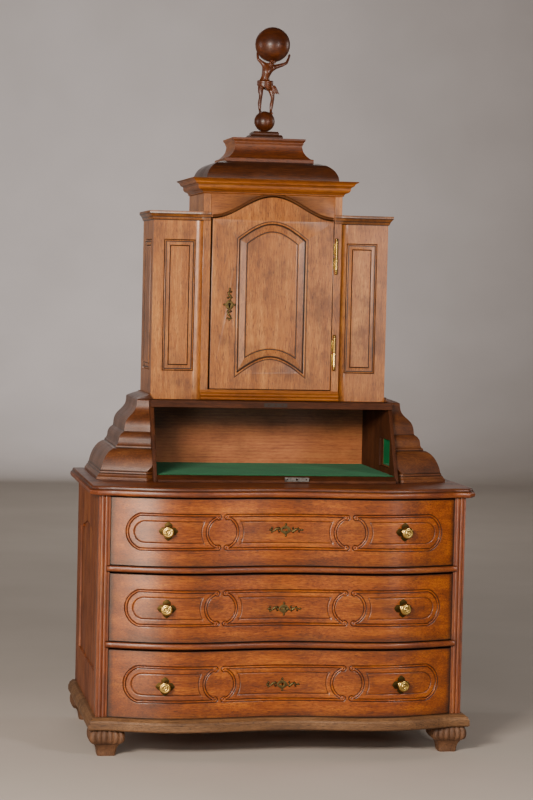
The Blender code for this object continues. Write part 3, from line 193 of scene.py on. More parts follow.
# %% Floor and backdrop
def add_studio():
    """One round sheet for the floor and the wall, with a wide curve where they meet."""
    floor_radius, sweep, height, around, rows = 9.6, 4.4, 9.0, 120, 24
    line = [(0.5 * floor_radius, 0.0), (floor_radius, 0.0)]
    for step in range(1, rows + 1):
        turn = math.pi / 2 * step / rows
        line.append((floor_radius + sweep * math.sin(turn), sweep - sweep * math.cos(turn)))
    line.append((floor_radius + sweep, height))
    points = [(0.0, 0.0, 0.0)]
    for radius, z in line:
        for step in range(around):
            turn = math.tau * step / around
            points.append((radius * math.cos(turn), radius * math.sin(turn), z))
    faces = [(0, 1 + step, 1 + (step + 1) % around) for step in range(around)]
    for row in range(len(line) - 1):
        for step in range(around):
            low, after = 1 + row * around, (step + 1) % around
            faces.append((low + step, low + around + step, low + around + after, low + after))
    sheet = new_piece("studio_sheet", points, [], faces)
    sheet.data.shade_smooth()
    material, tree = new_material("matt_studio_paper")
    spot = add(tree, "ShaderNodeTexCoord").outputs["Object"]
    mottle = add(tree, "ShaderNodeTexNoise", {"Vector": spot, "Scale": 1.3, "Detail": 3.0})
    colour = ramp(tree, mottle.outputs["Fac"], [(0.3, srgb("#B8AEA3")), (0.7, srgb("#C0B6AB"))])
    finish(tree, {"Base Color": colour, "Roughness": 0.85})
    sheet.data.materials.append(material)
    return sheet


studio = add_studio()
print("studio sheet:", len(studio.data.polygons), "faces")

# %% Lights
def add_light(name, place, target, size, power, colour, mirrored_only=False):
    """A square soft light, turned to its target; mirrored_only keeps it to the gloss of the wax."""
    light = bpy.data.lights.new(name, "AREA")
    light.shape = "RECTANGLE"
    light.size, light.size_y = size
    light.energy = power
    light.color = srgb(colour)[:3]
    holder = bpy.data.objects.new(name, light)
    holder.location = place
    holder.rotation_euler = (Vector(target) - Vector(place)).to_track_quat("-Z", "Y").to_euler()
    holder.visible_diffuse = not mirrored_only
    bpy.context.scene.collection.objects.link(holder)


add_light("left_softbox", (-2.10, -3.65, 2.05), (-0.1, 0.0, 0.9), (1.2, 0.6), 200, "#FFF3E8")
add_light("right_softbox", (2.1, -3.4, 2.05), (0.0, 0.0, 0.9), (0.5, 0.6), 50, "#FFF8F2")
add_light("far_fill", (-2.6, -6.4, 2.1), (0.0, 0.0, 1.1), (2.0, 0.7), 80, "#FFF6EE")
add_light("left_mirror_panel", (-2.0, -3.6, 0.50), (-0.3, -0.3, 0.6), (0.9, 0.9), 70, "#FFE6CC", True)
add_light("right_mirror_panel", (1.50, -3.5, 1.60), (0.3, -0.3, 1.5), (1.0, 1.0), 20, "#FFF4EC", True)
add_light("low_mirror_panel", (1.65, -3.5, 0.45), (0.2, -0.3, 0.6), (0.4, 0.8), 5, "#FFF4EC", True)
add_light("wall_light", (0.6, 9.0, 3.2), (0.6, 14.0, 3.4), (1.2, 1.2), 195, "#F4F4FF")
add_light("rear_floor_light", (0.8, 6.2, 4.5), (0.8, 6.8, 0.0), (4.0, 3.0), 80, "#FFF8F2")
add_light("left_side_light", (-4.6, 0.7, 1.9), (0.0, 0.0, 1.0), (1.2, 1.6), 45, "#FFF8F2")
add_light("right_side_light", (4.6, 1.7, 2.4), (0.0, 0.1, 1.1), (1.2, 1.6), 32, "#FFF8F2")

world = bpy.data.worlds.new("studio_air")
world.use_nodes = True
air = world.node_tree
air.nodes.clear()
glow = add(air, "ShaderNodeBackground", {"Color": srgb("#C9CCD2"), "Strength": 0.06})
air.links.new(glow.outputs[0], add(air, "ShaderNodeOutputWorld").inputs[0])
bpy.context.scene.world = world

# %% [markdown]
# ## Waxed wood
# The chest is walnut and fruitwood, the cabinet oak, and all of it has three centuries of wax and
# handling on it. Wood is long bands of lighter and darker growth, fine fibres that run with them, short
# dark pores, and slow stains over the whole board. Each is a noise that is stretched along the grain.
# Pieces may carry two painted values. Grime is dark wax together with painted shade: darkening painted
# into hollow corners, grooves and the gaps between parts, where shade falls. Tone makes the wood lighter
# or darker: a darker cut in the drawers' fields, and darker near the edges and towards the bottom of each
# drawer front.

# %% Wood
def wood(name, dark, middle, light, along, ring_mm=9.0, figure=12.0, roughness=0.42, coat=0.2, pore=0.6,
         stain="#1C0D05", stained=0.3, shift=0.0, gloss=0.4, polish=0.24):
    """Waxed wood whose grain runs along one axis; ring_mm is one year's growth, figure how it wanders."""
    material, tree = new_material(name)
    spot = add(tree, "ShaderNodeTexCoord").outputs["Object"]

    def stretched(share):
        """The piece's own coordinates, drawn out along the grain."""
        scale = [1.0, 1.0, 1.0]
        scale["XYZ".index(along)] = share
        place = (shift, 2 * shift, 3 * shift)
        return add(tree, "ShaderNodeMapping", {"Vector": spot, "Location": place, "Scale": scale}).outputs[0]

    rings = add(tree, "ShaderNodeTexWave", {
        "Vector": stretched(0.09), "Scale": 628 / ring_mm, "Distortion": figure, "Detail": 3.0,
        "Detail Scale": 0.011 * ring_mm, "Detail Roughness": 0.6},
        bands_direction="X" if along == "Z" else "Z", wave_profile="SAW").outputs["Fac"]
    bands = noise(tree, stretched(0.12), 34.0, 5.0, 0.6)
    fibre = noise(tree, stretched(0.07), 2.4, 4.0, 0.75)
    pores = noise(tree, stretched(0.12), 2.0, 1.0, 0.6)
    blotch = noise(tree, spot, 110.0, 5.0, 0.6)
    share = reckoned(tree, "ADD", spread(tree, bands, 0.30, 0.70, 0.0, 0.36),
                     spread(tree, fibre, 0.26, 0.74, 0.0, 0.46))
    share = reckoned(tree, "ADD", share, spread(tree, rings, 0.0, 1.0, 0.0, 0.18))
    colour = ramp(tree, share, [(0.10, srgb(dark)), (0.90, srgb(light)), (0.50, srgb(middle))])
    colour = mixed(tree, spread(tree, blotch, 0.48, 0.68, 0.0, stained), colour, srgb(stain))
    pits = spread(tree, pores, 0.57, 0.68, 0.0, pore)
    colour = mixed(tree, pits, colour, srgb(stain))
    tone = reckoned(tree, "ADD", painted(tree, "tone"), 1.0)
    colour = add(tree, "ShaderNodeVectorMath", {0: colour, "Scale": tone}, operation="SCALE").outputs[0]
    # The painted dark share, dark wax together with painted shade, mixes the colour towards near-black.
    colour = mixed(tree, painted(tree, "grime_and_shade"), colour, srgb("#120804"))
    relief = reckoned(tree, "SUBTRACT", fibre, pits)
    bump = add(tree, "ShaderNodeBump", {"Height": relief, "Strength": 0.25, "Distance": 0.0006}).outputs[0]
    rough = spread(tree, blotch, 0.3, 0.7, roughness - 0.06, roughness + 0.10)
    finish(tree, {"Base Color": colour, "Roughness": rough, "Normal": bump, "IOR": 1.5,
                  "Specular IOR Level": gloss, "Coat Weight": coat, "Coat Roughness": polish})
    return material


WALNUT, EDGE = ("#3C1602", "#8E4200", "#CE7406"), ("#30140A", "#74340C", "#A8601E")
BROWN, UPRIGHT = ("#2A160A", "#5C3014", "#865226"), ("#3C1A08", "#78390F", "#A0602A")
OAK, SMOKED = ("#4E2608", "#9C5A1C", "#CC8C42"), ("#4C240A", "#8A4C14", "#AE6C26")
COVE_SHADE, DULL = ("#2E1408", "#5E2C0E", "#84481C"), ("#3A2210", "#6E4A28", "#98704A")
RUBBED, INNER = ("#301A0E", "#624026", "#8E6444"), ("#1C0C06", "#44220F", "#66381C")
PINE, BACK = ("#60300C", "#9A5C22", "#BC7C36"), ("#6A3214", "#A86030", "#C07C40")
DARK_AND_SHADE = ("#221006", "#46220C", "#683816")
HANDLED = {"roughness": 0.46, "pore": 0.35}
WAXED_OAK = {"pore": 0.6, "coat": 0.4, "stain": "#3C1A08", "stained": 0.55}
GREASY = {"ring_mm": 6, "roughness": 0.6, "coat": 0.0, "pore": 0.4, "gloss": 0.15}
walnut_x = wood("waxed_walnut_long_grain", *WALNUT, "X", roughness=0.45, coat=0.6, pore=0.5, gloss=0.2,
                polish=0.27, stained=0.42)
edge_x = wood("handled_walnut_long_grain", *EDGE, "X", shift=0.5, coat=0.35, gloss=0.3, **HANDLED)
edge_z = wood("handled_walnut_upright_grain", *EDGE, "Z", shift=0.7, coat=0.3, **HANDLED)
brown_x = wood("dull_walnut_long_grain", *BROWN, "X", shift=0.3, roughness=0.46, coat=0.08, pore=0.4,
               figure=6)
brown_y = wood("dull_walnut_side_grain", *BROWN, "Y", shift=1.3, coat=0.3, pore=0.4, figure=6, gloss=0.8)
brown_z = wood("dull_walnut_upright_grain", *UPRIGHT, "Z", shift=2.3, roughness=0.5, coat=0.0, pore=0.4,
               gloss=0.3)
oak_z = wood("waxed_oak_upright_grain", *OAK, "Z", ring_mm=6, figure=6, roughness=0.44, **WAXED_OAK)
oak_panel = wood("waxed_oak_panel", *OAK, "Z", ring_mm=8, figure=9, shift=2.1, **WAXED_OAK)
oak_x = wood("smoked_oak_long_grain", *SMOKED, "X", ring_mm=6, figure=6, roughness=0.5, pore=0.35, shift=0.4,
             gloss=0.2, coat=0.1)
oak_y = wood("smoked_oak_side_grain", *SMOKED, "Y", ring_mm=6, figure=6, shift=0.9, **HANDLED)
# A darker copy of the oak for the cove's face: painted shade of the upturned hollow.
oak_cove_shade = wood("oak_cove_painted_shade", *COVE_SHADE, "X", ring_mm=7, shift=1.7)
worn_x = wood("rubbed_oak_long_grain", *DULL, "X", ring_mm=6, roughness=0.6, coat=0.0)
worn_z = wood("rubbed_oak_upright_grain", *RUBBED, "Z", ring_mm=6, roughness=0.6, coat=0.0, shift=0.5)
inner_x = wood("greasy_oak_long_grain", *INNER, "X", shift=0.8, **GREASY)
inner_z = wood("greasy_oak_upright_grain", *INNER, "Z", shift=1.1, **GREASY)
pine_x = wood("aged_pine_long_grain", *PINE, "X", ring_mm=14, roughness=0.6, coat=0.0, pore=0.25)
back_x = wood("browned_pine_back_board", *BACK, "X", ring_mm=22, figure=4, roughness=0.55, coat=0.0, pore=0.2,
              shift=3.1)
# On the dome this dark palette is painted shade: the dome is the cove's wood, dark where it faces up.
dark_and_shade_x = wood("dark_walnut_and_painted_shade_long_grain", *DARK_AND_SHADE, "X", roughness=0.38, coat=0.25)
print("woods:", len(bpy.data.materials))

# %% [markdown]
# ## Brass, iron and baize
# The knobs and plates are cast brass that has been rubbed bright on the high places and is brown in
# the hollows. The locks are forged iron, grey and scaly. The writing surface is green baize, a felted
# wool cloth with a short, soft nap that catches light from the side.

# %% Metals and cloth
def metal(name, bright, dull, roughness, stain_mm, dull_share):
    """Cast or forged metal with a darker film over part of it."""
    material, tree = new_material(name)
    spot = add(tree, "ShaderNodeTexCoord").outputs["Object"]
    film = noise(tree, spot, stain_mm, 5.0)
    grime_and_shade = painted(tree, "grime_and_shade")
    both = reckoned(tree, "MAXIMUM", spread(tree, film, 0.62 - dull_share / 2, 0.70), grime_and_shade)
    colour = mixed(tree, both, srgb(bright), srgb(dull))
    rough = spread(tree, both, 0.0, 1.0, roughness, roughness + 0.25)
    pits = noise(tree, spot, 1.5, 3.0)
    bump = add(tree, "ShaderNodeBump", {"Height": pits, "Strength": 0.12, "Distance": 0.0002}).outputs[0]
    finish(tree, {"Base Color": colour, "Metallic": 1.0, "Roughness": rough, "Normal": bump})
    return material


def felt(name, low, high):
    """Felted wool with a short nap; the nap is drawn at 2 mm, coarser than life, so that it shows."""
    material, tree = new_material(name)
    spot = add(tree, "ShaderNodeTexCoord").outputs["Object"]
    nap = noise(tree, spot, 2.0, 3.0)
    both = reckoned(tree, "ADD", nap, noise(tree, spot, 120, 4.0))
    colour = ramp(tree, reckoned(tree, "MULTIPLY", both, 0.5), [(0.38, srgb(low)), (0.62, srgb(high))])
    bump = add(tree, "ShaderNodeBump", {"Height": nap, "Strength": 0.5, "Distance": 0.0006}).outputs[0]
    finish(tree, {"Base Color": colour, "Roughness": 0.95, "Normal": bump, "Specular IOR Level": 0.2,
                  "Sheen Weight": 0.12, "Sheen Roughness": 0.5, "Sheen Tint": srgb("#7FBF9A")})
    return material


brass = metal("rubbed_cast_brass", "#B89A54", "#241A0C", 0.27, 8, 0.0)
old_brass = metal("tarnished_cast_brass", "#74643E", "#2A2216", 0.42, 6, 0.4)
iron = metal("forged_iron", "#6E6A66", "#3A3330", 0.50, 12, 0.4)
baize_green = felt("green_wool_baize", "#054A26", "#0C6A3A")
print("finishes:", len(bpy.data.materials))

# %% [markdown]
# ## Helpers for pieces
# Plain boards of the model keep their shape: a copy is merged into one skin, its edges are eased by
# about a millimetre, and it takes the board's place. Mouldings are worked as a joiner would think of
# them: one section, drawn once and eased at its corners, then carried along the piece's plan. Seated
# pieces stand 0.3 mm clear of one another, which is FIT below.

# %% Pieces
OVERALL_DEPTH = cad_box[1][1] - cad_box[0][1]
CASE_DEPTH, POST_INNER = 0.675, 0.5415
FIT = 0.0003


def y_at(depth):
    """World y of a place that lies depth metres forward of the wall."""
    return OVERALL_DEPTH / 2 - depth


def alone(piece):
    """Select one piece and nothing else."""
    bpy.ops.object.select_all(action="DESELECT")
    piece.select_set(True)
    bpy.context.view_layer.objects.active = piece


def moved(piece, x, y, z):
    """Move a piece's mesh, so that the piece itself stays at the origin."""
    piece.data.transform(Matrix.Translation((x, y, z)))
    return piece


def apply_modifier(piece, kind, **settings):
    """Add a modifier with these settings, and apply it."""
    modifier = piece.modifiers.new(kind.lower(), kind)
    for name, value in settings.items():
        setattr(modifier, name, value)
    alone(piece)
    bpy.ops.object.modifier_apply(modifier=modifier.name)


def sphere(name, radius, segments, rings):
    """A ball at the origin."""
    bpy.ops.object.select_all(action="DESELECT")
    bpy.ops.mesh.primitive_uv_sphere_add(segments=segments, ring_count=rings, radius=radius)
    piece = bpy.context.view_layer.objects.active
    piece.name = name
    return piece


def merge_skin(piece, threshold):
    """Merge points closer than the threshold and turn every face outwards."""
    alone(piece)
    bpy.ops.object.mode_set(mode="EDIT")
    bpy.ops.mesh.select_all(action="SELECT")
    bpy.ops.mesh.remove_doubles(threshold=threshold)
    bpy.ops.mesh.normals_make_consistent(inside=False)
    bpy.ops.object.mode_set(mode="OBJECT")
    return piece


# A planed face wider than this many square metres shades flat, whatever rounds its edges.
WIDE_FACE = 0.005


def settle(piece, nodes, materials, smooth_deg=32, replaces=True):
    """Give a piece its finish and let it ride in place of the CAD nodes, or beside the first of them."""
    piece.data.materials.clear()
    for material in materials if isinstance(materials, (list, tuple)) else [materials]:
        piece.data.materials.append(material)
    alone(piece)
    if smooth_deg:
        bpy.ops.object.shade_smooth_by_angle(angle=math.radians(smooth_deg))
    nodes = [nodes] if isinstance(nodes, str) else nodes
    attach(piece, body_of[nodes[0]])
    if replaces:
        for face in piece.data.polygons:
            if face.area > WIDE_FACE:
                face.use_smooth = False
        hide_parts(*nodes)
    return piece


def dressed(node, materials, ease=0.0008, smooth_deg=32):
    """A merged and eased copy of a CAD node that takes its place."""
    piece = bpy.data.objects.new(node + "_eased", frame["nodes"][node].data.copy())
    bpy.context.scene.collection.objects.link(piece)
    alone(piece)
    bpy.ops.mesh.customdata_custom_splitnormals_clear()
    bpy.ops.object.mode_set(mode="EDIT")
    bpy.ops.mesh.select_all(action="SELECT")
    bpy.ops.mesh.remove_doubles(threshold=0.00002)
    bpy.ops.mesh.dissolve_limited(angle_limit=math.radians(0.5))
    bpy.ops.object.mode_set(mode="OBJECT")
    if ease:
        apply_modifier(piece, "BEVEL", width=ease, segments=2, limit_method="ANGLE",
                       angle_limit=math.radians(40))
    return settle(piece, node, materials, smooth_deg)


def straight_board(name, x_span, y_span, z_span, ease=0.0008):
    """A board between limits, its edges eased with a bevel."""
    bpy.ops.object.select_all(action="DESELECT")
    bpy.ops.mesh.primitive_cube_add(size=1.0)
    piece = bpy.context.view_layer.objects.active
    piece.name = name
    spans = (x_span, y_span, z_span)
    for vertex in piece.data.vertices:
        vertex.co = [low + (high - low) * (value + 0.5) for value, (low, high) in zip(vertex.co, spans)]
    apply_modifier(piece, "BEVEL", width=ease, segments=2)
    return piece


def paint(piece, name, values):
    """Write one number per corner point of the mesh, for a material to read."""
    layer = piece.data.attributes.new(name, "FLOAT", "POINT")
    layer.data.foreach_set("value", values)


def darken(piece, rule):
    """Paint dark wax, tarnish and painted shade by a rule that gives its share at a point of the piece."""
    paint(piece, "grime_and_shade", [rule(vertex.co) for vertex in piece.data.vertices])
    return piece


def by_side(piece, margin=0.05):
    """Give faces that look sideways the second material, as a mitred moulding's grain turns there."""
    for face in piece.data.polygons:
        face.material_index = 1 if abs(face.normal.x) > abs(face.normal.y) + margin else 0


def loft(name, rings, grime_and_shade=None):
    """A closed solid skinned over rings of equal count; one value per ring of dark wax and painted shade."""
    count = len(rings[0])
    points = [point for ring in rings for point in ring]
    faces = [tuple(range(count)), tuple(range(len(points) - count, len(points)))]
    for low in range(0, len(points) - count, count):
        faces += [(low + i, low + (i + 1) % count, low + count + (i + 1) % count, low + count + i)
                  for i in range(count)]
    piece = new_piece(name, points, [], faces)
    if grime_and_shade:
        paint(piece, "grime_and_shade", [value for value in grime_and_shade for _ in range(count)])
    return merge_skin(piece, 0.000005)


def cut_out(piece, hollow):
    """Take a hollow's solid out of a piece, and drop the hollow."""
    apply_modifier(piece, "BOOLEAN", object=hollow)
    bpy.data.objects.remove(hollow)
    return piece


def section(points, ease=0.0009, steps=4, soft_deg=38, near=0.0022, outward=False):
    """An eased moulding section: (inset, up, dark share) along the line; gentle corners are made round.

    A hollow corner gets dark wax and painted shade, so its dark share is high there and falls off
    within a few millimetres.
    With outward set, the first number grows away from the wood instead of into it.
    """
    line = [Vector(point) for point in points]
    kinds = []
    for before, here, after in zip(line, line[1:], line[2:]):
        first, second = (here - before).normalized(), (after - here).normalized()
        turn = math.degrees(math.atan2(first.x * second.y - first.y * second.x, first.dot(second)))
        kinds.append(-turn if outward else turn)
    kinds = [0.0] + kinds + [0.0]
    out = [(line[0].x, line[0].y, 0.0)]
    for index in range(1, len(line)):
        start, end = line[index - 1], line[index]
        span = (end - start).length
        if span < 1e-7:
            continue
        soft_start = index > 1 and abs(kinds[index - 1]) < soft_deg
        soft_end = index < len(line) - 1 and abs(kinds[index]) < soft_deg
        if soft_start or soft_end:
            pull_start = ((end - line[index - 2]) / 2).normalized() * span if soft_start else end - start
            pull_end = ((line[index + 1] - start) / 2).normalized() * span if soft_end else end - start
            for step in range(1, steps):
                t = step / steps
                spot = ((2 * t**3 - 3 * t**2 + 1) * start + (t**3 - 2 * t**2 + t) * pull_start
                        + (3 * t**2 - 2 * t**3) * end + (t**3 - t**2) * pull_end)
                out.append((spot.x, spot.y, 0.0))
        else:
            for share in (near / span, 1 - near / span):
                if 0.05 < share < 0.95:
                    spot = start.lerp(end, share)
                    out.append((spot.x, spot.y, 0.0))
        if index < len(line) - 1 and not soft_end:
            turn = kinds[index]
            dark = min(1.0, max(0.0, turn / 60)) if turn > 0 else 0.0
            small = min(ease, span / 3, (line[index + 1] - end).length / 3)
            back = end + (start - end).normalized() * small
            on = end + (line[index + 1] - end).normalized() * small
            out += [(back.x, back.y, 0.9 * dark), (on.x, on.y, 0.9 * dark)]
        else:
            out.append((end.x, end.y, 0.0))
    return out


# %% [markdown]
# ## The serpentine front
# The chest's front swells twice and draws in at its middle. One function gives its swelling at each
# place across the front, and every drawer, rail and moulding of the chest follows it.

# %% Serpentine line
BULGE_RISE, CENTRE_RISE, PEAK_SHARE = 0.055, 0.024, 0.57


def bulge(x):
    """How far the serpentine front stands forward of the case at x."""
    share = min(1.0, abs(x) / POST_INNER)
    if share < PEAK_SHARE:
        return CENTRE_RISE + (BULGE_RISE - CENTRE_RISE) * (1 - math.cos(math.pi * share / PEAK_SHARE)) / 2
    return BULGE_RISE * math.cos(math.pi / 2 * (share - PEAK_SHARE) / (1 - PEAK_SHARE))


def serpentine(depth, half_width, stations=108):
    """Front edge points from left to right at the given depth."""
    reach = min(half_width, POST_INNER)
    places = [reach * (2 * step / stations - 1) for step in range(stations + 1)]
    points = [(x, y_at(depth + bulge(x))) for x in places]
    if half_width > reach:
        points = [(-half_width, y_at(depth))] + points + [(half_width, y_at(depth))]
    return points


def plan_ring(front, back, z):
    """A level ring: the front line, the right side's points to the back, and the same on the left."""
    return [(x, y, z) for x, y in front + back + [(-x, y) for x, y in reversed(back)]]


print("the front swells %.0f mm beside the middle" % (1000 * max(bulge(x / 100) for x in range(50))))

# %% [markdown]
# ## Boards that stay plain
# Sides, backs, trays, floors, lock cases and bolts are true boards and bars in the model, so they only
# need merged skins, eased edges and wood or iron that runs the right way.

# %% Plain boards
SIDES, LEVELS = ("left", "right"), ("top", "middle", "bottom")
for side in SIDES:
    dressed(side + "_side", brown_z)
    dressed(side + "_inner_wall", inner_z)
dressed("case_back", pine_x)
dressed("case_bottom", pine_x)
dressed("upper_back", back_x)
for level in LEVELS:
    dressed(level + "_drawer_tray", pine_x)
    dressed(level + "_drawer_lock", iron, 0.0005)
    dressed(level + "_drawer_bolt", iron, 0.0005)
dressed("door_lock", iron, 0.0005)
dressed("door_bolt", iron, 0.0005)
dressed("writing_floor", inner_x)
dressed("writing_top", inner_x, 0.0012)
print("plain boards done")

# %% [markdown]
# ## Chest: posts, rails, top and plinth
# The corner posts carry two reeds. The rails between the drawers end in a round bead that follows the
# serpentine. The top plate has a thumb moulding over a small hollow, and the plinth a plain band with a
# worn slope above it.

# %% Posts, rails, top and plinth
def add_post(name):
    """A corner post with two round reeds on its face."""
    low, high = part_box(name)
    middle, half, reeds, proud = (low.x + high.x) / 2, (high.x - low.x) / 2, 2, 0.0035
    width = 2 * half / (reeds + 1)
    plan = [(middle - half, low.y + proud)]
    for reed in range(reeds):
        centre = middle - half + width * (reed + 1)
        for step in range(13):
            turn = math.pi * (1 + step / 12)
            plan.append((centre + width / 2 * math.cos(turn), low.y + proud + proud * math.sin(turn)))
    plan += [(middle + half, low.y + proud), (middle + half, high.y), (middle - half, high.y)]
    post = loft(name + "_reeded", [[(x, y, z) for x, y in plan] for z in (low.z, high.z)])
    settle(post, name, edge_z, 50)


for side in SIDES:
    add_post(side + "_corner_post")


def cut_mortise(piece, node, level):
    """The pocket in the wood above a drawer that takes the thrown lock bolt."""
    low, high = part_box(level + "_drawer_bolt")
    under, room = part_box(node)[0].z, 0.0015
    ring = [(low.x - room, low.y - room), (high.x + room, low.y - room),
            (high.x + room, high.y + room), (low.x - room, high.y + room)]
    return cut_out(piece, loft(node + "_mortise", [[(x, y, z) for x, y in ring]
                                                   for z in (under - 0.002, under + 0.0105)]))


def add_rail(name, level):
    """A drawer divider with a half-round bead in front and its runners behind."""
    low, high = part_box(name)
    thick = high.z - low.z
    half, proud, post_back = POST_INNER + 0.009, 0.007, CASE_DEPTH - 0.0503
    side_half, runner_half, rear, rail_back = 0.5547, 0.5027, 0.0123, 0.612

    def ring(inset, z):
        front = serpentine(CASE_DEPTH + proud - inset, half)
        back = [(half, y_at(CASE_DEPTH + FIT)), (POST_INNER - FIT, y_at(CASE_DEPTH + FIT)),
                (POST_INNER - FIT, y_at(post_back)), (side_half, y_at(post_back)),
                (side_half, y_at(rear)), (runner_half, y_at(rear)), (runner_half, y_at(rail_back))]
        return plan_ring(front, back, z)

    rings = []
    for step in range(9):
        turn = math.pi * (step / 8 - 0.5)
        rings.append(ring(proud * 0.9 * (1 - math.cos(turn)), low.z + thick * (1 + math.sin(turn)) / 2))
    # Painted shade and dark wax at the top and bottom of the bead, beside the gaps over and under the
    # drawers.
    grime_and_shade = (0.95, 0.95, 0.35, 0.0, 0.0, 0.0, 0.15, 0.8, 0.9)
    rail = cut_mortise(loft(name + "_beaded", rings, grime_and_shade), name, level)
    settle(rail, name, edge_x, 45)
    print("%s has %d faces" % (name, len(rail.data.polygons)))


add_rail("lower_divider", "bottom")
add_rail("upper_divider", "middle")


def add_top_plate():
    """The chest's top: thumb moulding, hollow, and a soft upper edge."""
    low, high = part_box("top_plate")
    half, depth, cut, thick = high.x, CASE_DEPTH + 0.020, 0.022, high.z - low.z
    line = section([(0.30, 0.0), (0.10, 0.06), (0.02, 0.20), (0.0, 0.36), (0.04, 0.55), (0.16, 0.68),
                    (0.22, 0.70), (0.24, 0.88), (0.34, 1.0)], ease=0.04, near=0.08)
    rings, grime_and_shade = [], []
    for inset, level, dark in line:
        inward, ease = inset * thick, 0.4 * inset * thick
        corner = half - cut - ease
        front = serpentine(depth - inward, corner)
        back = [(half - inward, y_at(depth - cut - ease)), (half - inward, y_at(0))]
        rings.append(plan_ring(front, back, low.z + level * thick))
        # Painted shadow under the thumb moulding, over the gap above the top drawer; painted shade with wear
        # on the upper moulding, and a little wear on the top.
        wear_and_shade = 0.25 if level > 0.95 else 0.5 if level > 0.58 else 0.8 if level < 0.05 else 0.0
        grime_and_shade.append(max(dark, wear_and_shade))
    board = cut_mortise(loft("top_plate_moulded", rings, grime_and_shade), "top_plate", "top")
    settle(board, "top_plate", edge_x, 40)


def add_plinth():
    """The plinth band, its lower edge rounded and its upper edge worn to a slope."""
    low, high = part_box("plinth")
    half, depth, frame_width = high.x, CASE_DEPTH + 0.0295, 0.085
    inner_half, inner_depth, height = half - frame_width, depth - frame_width, high.z - low.z
    line = section([(0.005, 0.0), (0.0, 0.004), (0.0, 0.020), (0.003, 0.0235), (0.0045, 0.0300),
                    (0.011, 0.0345), (0.0145, height)], ease=0.0008)
    rings = []
    for inset, level, dark in line:
        front = serpentine(depth - inset, half - inset)
        back = [(half - inset, y_at(0)), (inner_half, y_at(0)), (inner_half, y_at(inner_depth))]
        rings.append(plan_ring(front, back, low.z + level))
    settle(loft("plinth_moulded", rings, [dark for _, _, dark in line]), "plinth", worn_x, 40)


add_top_plate()
add_plinth()
print("chest frame done")

# %% [markdown]
# ## Feet
# Each foot swells out under the plinth with carved upright reeds, and tapers away below. The ring of
# one level is a square whose sides are cut into half-round reeds; the reeds fade out in the taper.

# %% Feet
def add_foot(name, reeds=6, reed_steps=6):
    """A carved foot; levels give its size, the depth of the reeds and the height."""
    low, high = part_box(name)
    middle, full, height = (low + high) / 2, (high.x - low.x) / 2, high.z - low.z
    line = section([(0.50, 0.0), (0.52, 0.05), (0.55, 0.20), (0.62, 0.34), (0.70, 0.42), (0.73, 0.455),
                    (0.86, 0.49), (0.97, 0.58), (1.0, 0.70), (0.985, 0.84), (0.93, 0.93), (0.86, 1.0)],
                   ease=0.01, near=0.03, outward=True)
    rings, grime_and_shade = [], []
    for share, level, dark in line:
        carve = min(1.0, max(0.0, (level - 0.45) / 0.06)) * min(1.0, (1.04 - level) / 0.10)
        ring = []
        for quarter in range(4):
            for reed in range(reeds):
                for step in range(reed_steps):
                    along = 2 * (reed + step / reed_steps) / reeds - 1
                    round_off = 0.012 * abs(along) ** 6
                    flute = 0.0045 * carve * (1 - math.sin(math.pi * step / reed_steps))
                    reach = full * share - flute - round_off * 0.3
                    spot = Vector((along * (full * share - 0.002), -reach, 0))
                    spot.rotate(Matrix.Rotation(quarter * math.pi / 2, 3, "Z"))
                    ring.append((middle.x + spot.x, middle.y + spot.y, low.z + level * height))
        rings.append(ring)
        grime_and_shade.append(dark)
    settle(loft(name + "_carved", rings, grime_and_shade), name, worn_z, 60)


for place in ("front_left", "front_right", "rear_left", "rear_right"):
    add_foot(place + "_foot")
print("feet done")

# %% [markdown]
# ## Drawer fronts
# Each front is cut from one thick board. Three cartouches are carved on it, with a round bead between
# two fine grooves, and the ends of neighbouring cartouches curl round a plain disc. Inside each lies a
# shallow field with its own scratched line. A moulding that follows such a line can't be drawn well on
# a square grid, so the face is cut along the lines themselves: loops run beside each bead at set
# distances, the sheet is divided along all of them, and a point's height then depends only on how far
# it lies from the nearest bead.

# %% Outlines on the front
CARTOUCHE_HALF, CARTOUCHE_END = 0.0515, 0.492
ROUNDEL_AT, ROUNDEL_RADIUS, HORN_GAP, CURL = 0.2009, 0.0486, 0.0165, 0.0048
END_RADIUS, END_DEG = 0.0567, 70
FIELD_HALF, FIELD_ROUND = 0.0330, 0.0665


def arc(centre, radius, start_deg, end_deg, count):
    """Points on a circle arc, both ends included."""
    turns = [math.radians(start_deg + (end_deg - start_deg) * i / count) for i in range(count + 1)]
    return [(centre[0] + radius * math.cos(t), centre[1] + radius * math.sin(t)) for t in turns]


def hollow_end(centre_x):
    """Lower horn, hollow and upper horn on the left of the disc at centre_x."""
    meet = math.degrees(math.acos(HORN_GAP / ROUNDEL_RADIUS))
    points = [(-HORN_GAP, -CARTOUCHE_HALF)] + arc((0, 0), ROUNDEL_RADIUS, 180 + meet, 180 - meet, 26)
    points.append((-HORN_GAP, CARTOUCHE_HALF))
    return [(centre_x + x, z) for x, z in points]


def side_cartouche():
    """The left cartouche: round outer end, hollow inner end."""
    outer = arc((-CARTOUCHE_END + END_RADIUS, 0), END_RADIUS, 180 - END_DEG, 180 + END_DEG, 28)
    return hollow_end(-ROUNDEL_AT) + outer


def middle_cartouche():
    """The middle cartouche, hollow at both ends."""
    right_end = hollow_end(ROUNDEL_AT)
    return right_end + [(-x, -z) for x, z in right_end]


def side_field():
    """Scratched field of the left cartouche: round outer end, hollow inner end."""
    meet = math.degrees(math.asin(FIELD_HALF / FIELD_ROUND))
    inner = arc((-ROUNDEL_AT, 0), FIELD_ROUND, 180 + meet, 180 - meet, 12)
    return inner + arc((-CARTOUCHE_END + 0.020 + FIELD_HALF, 0), FIELD_HALF, 90, 270, 20)


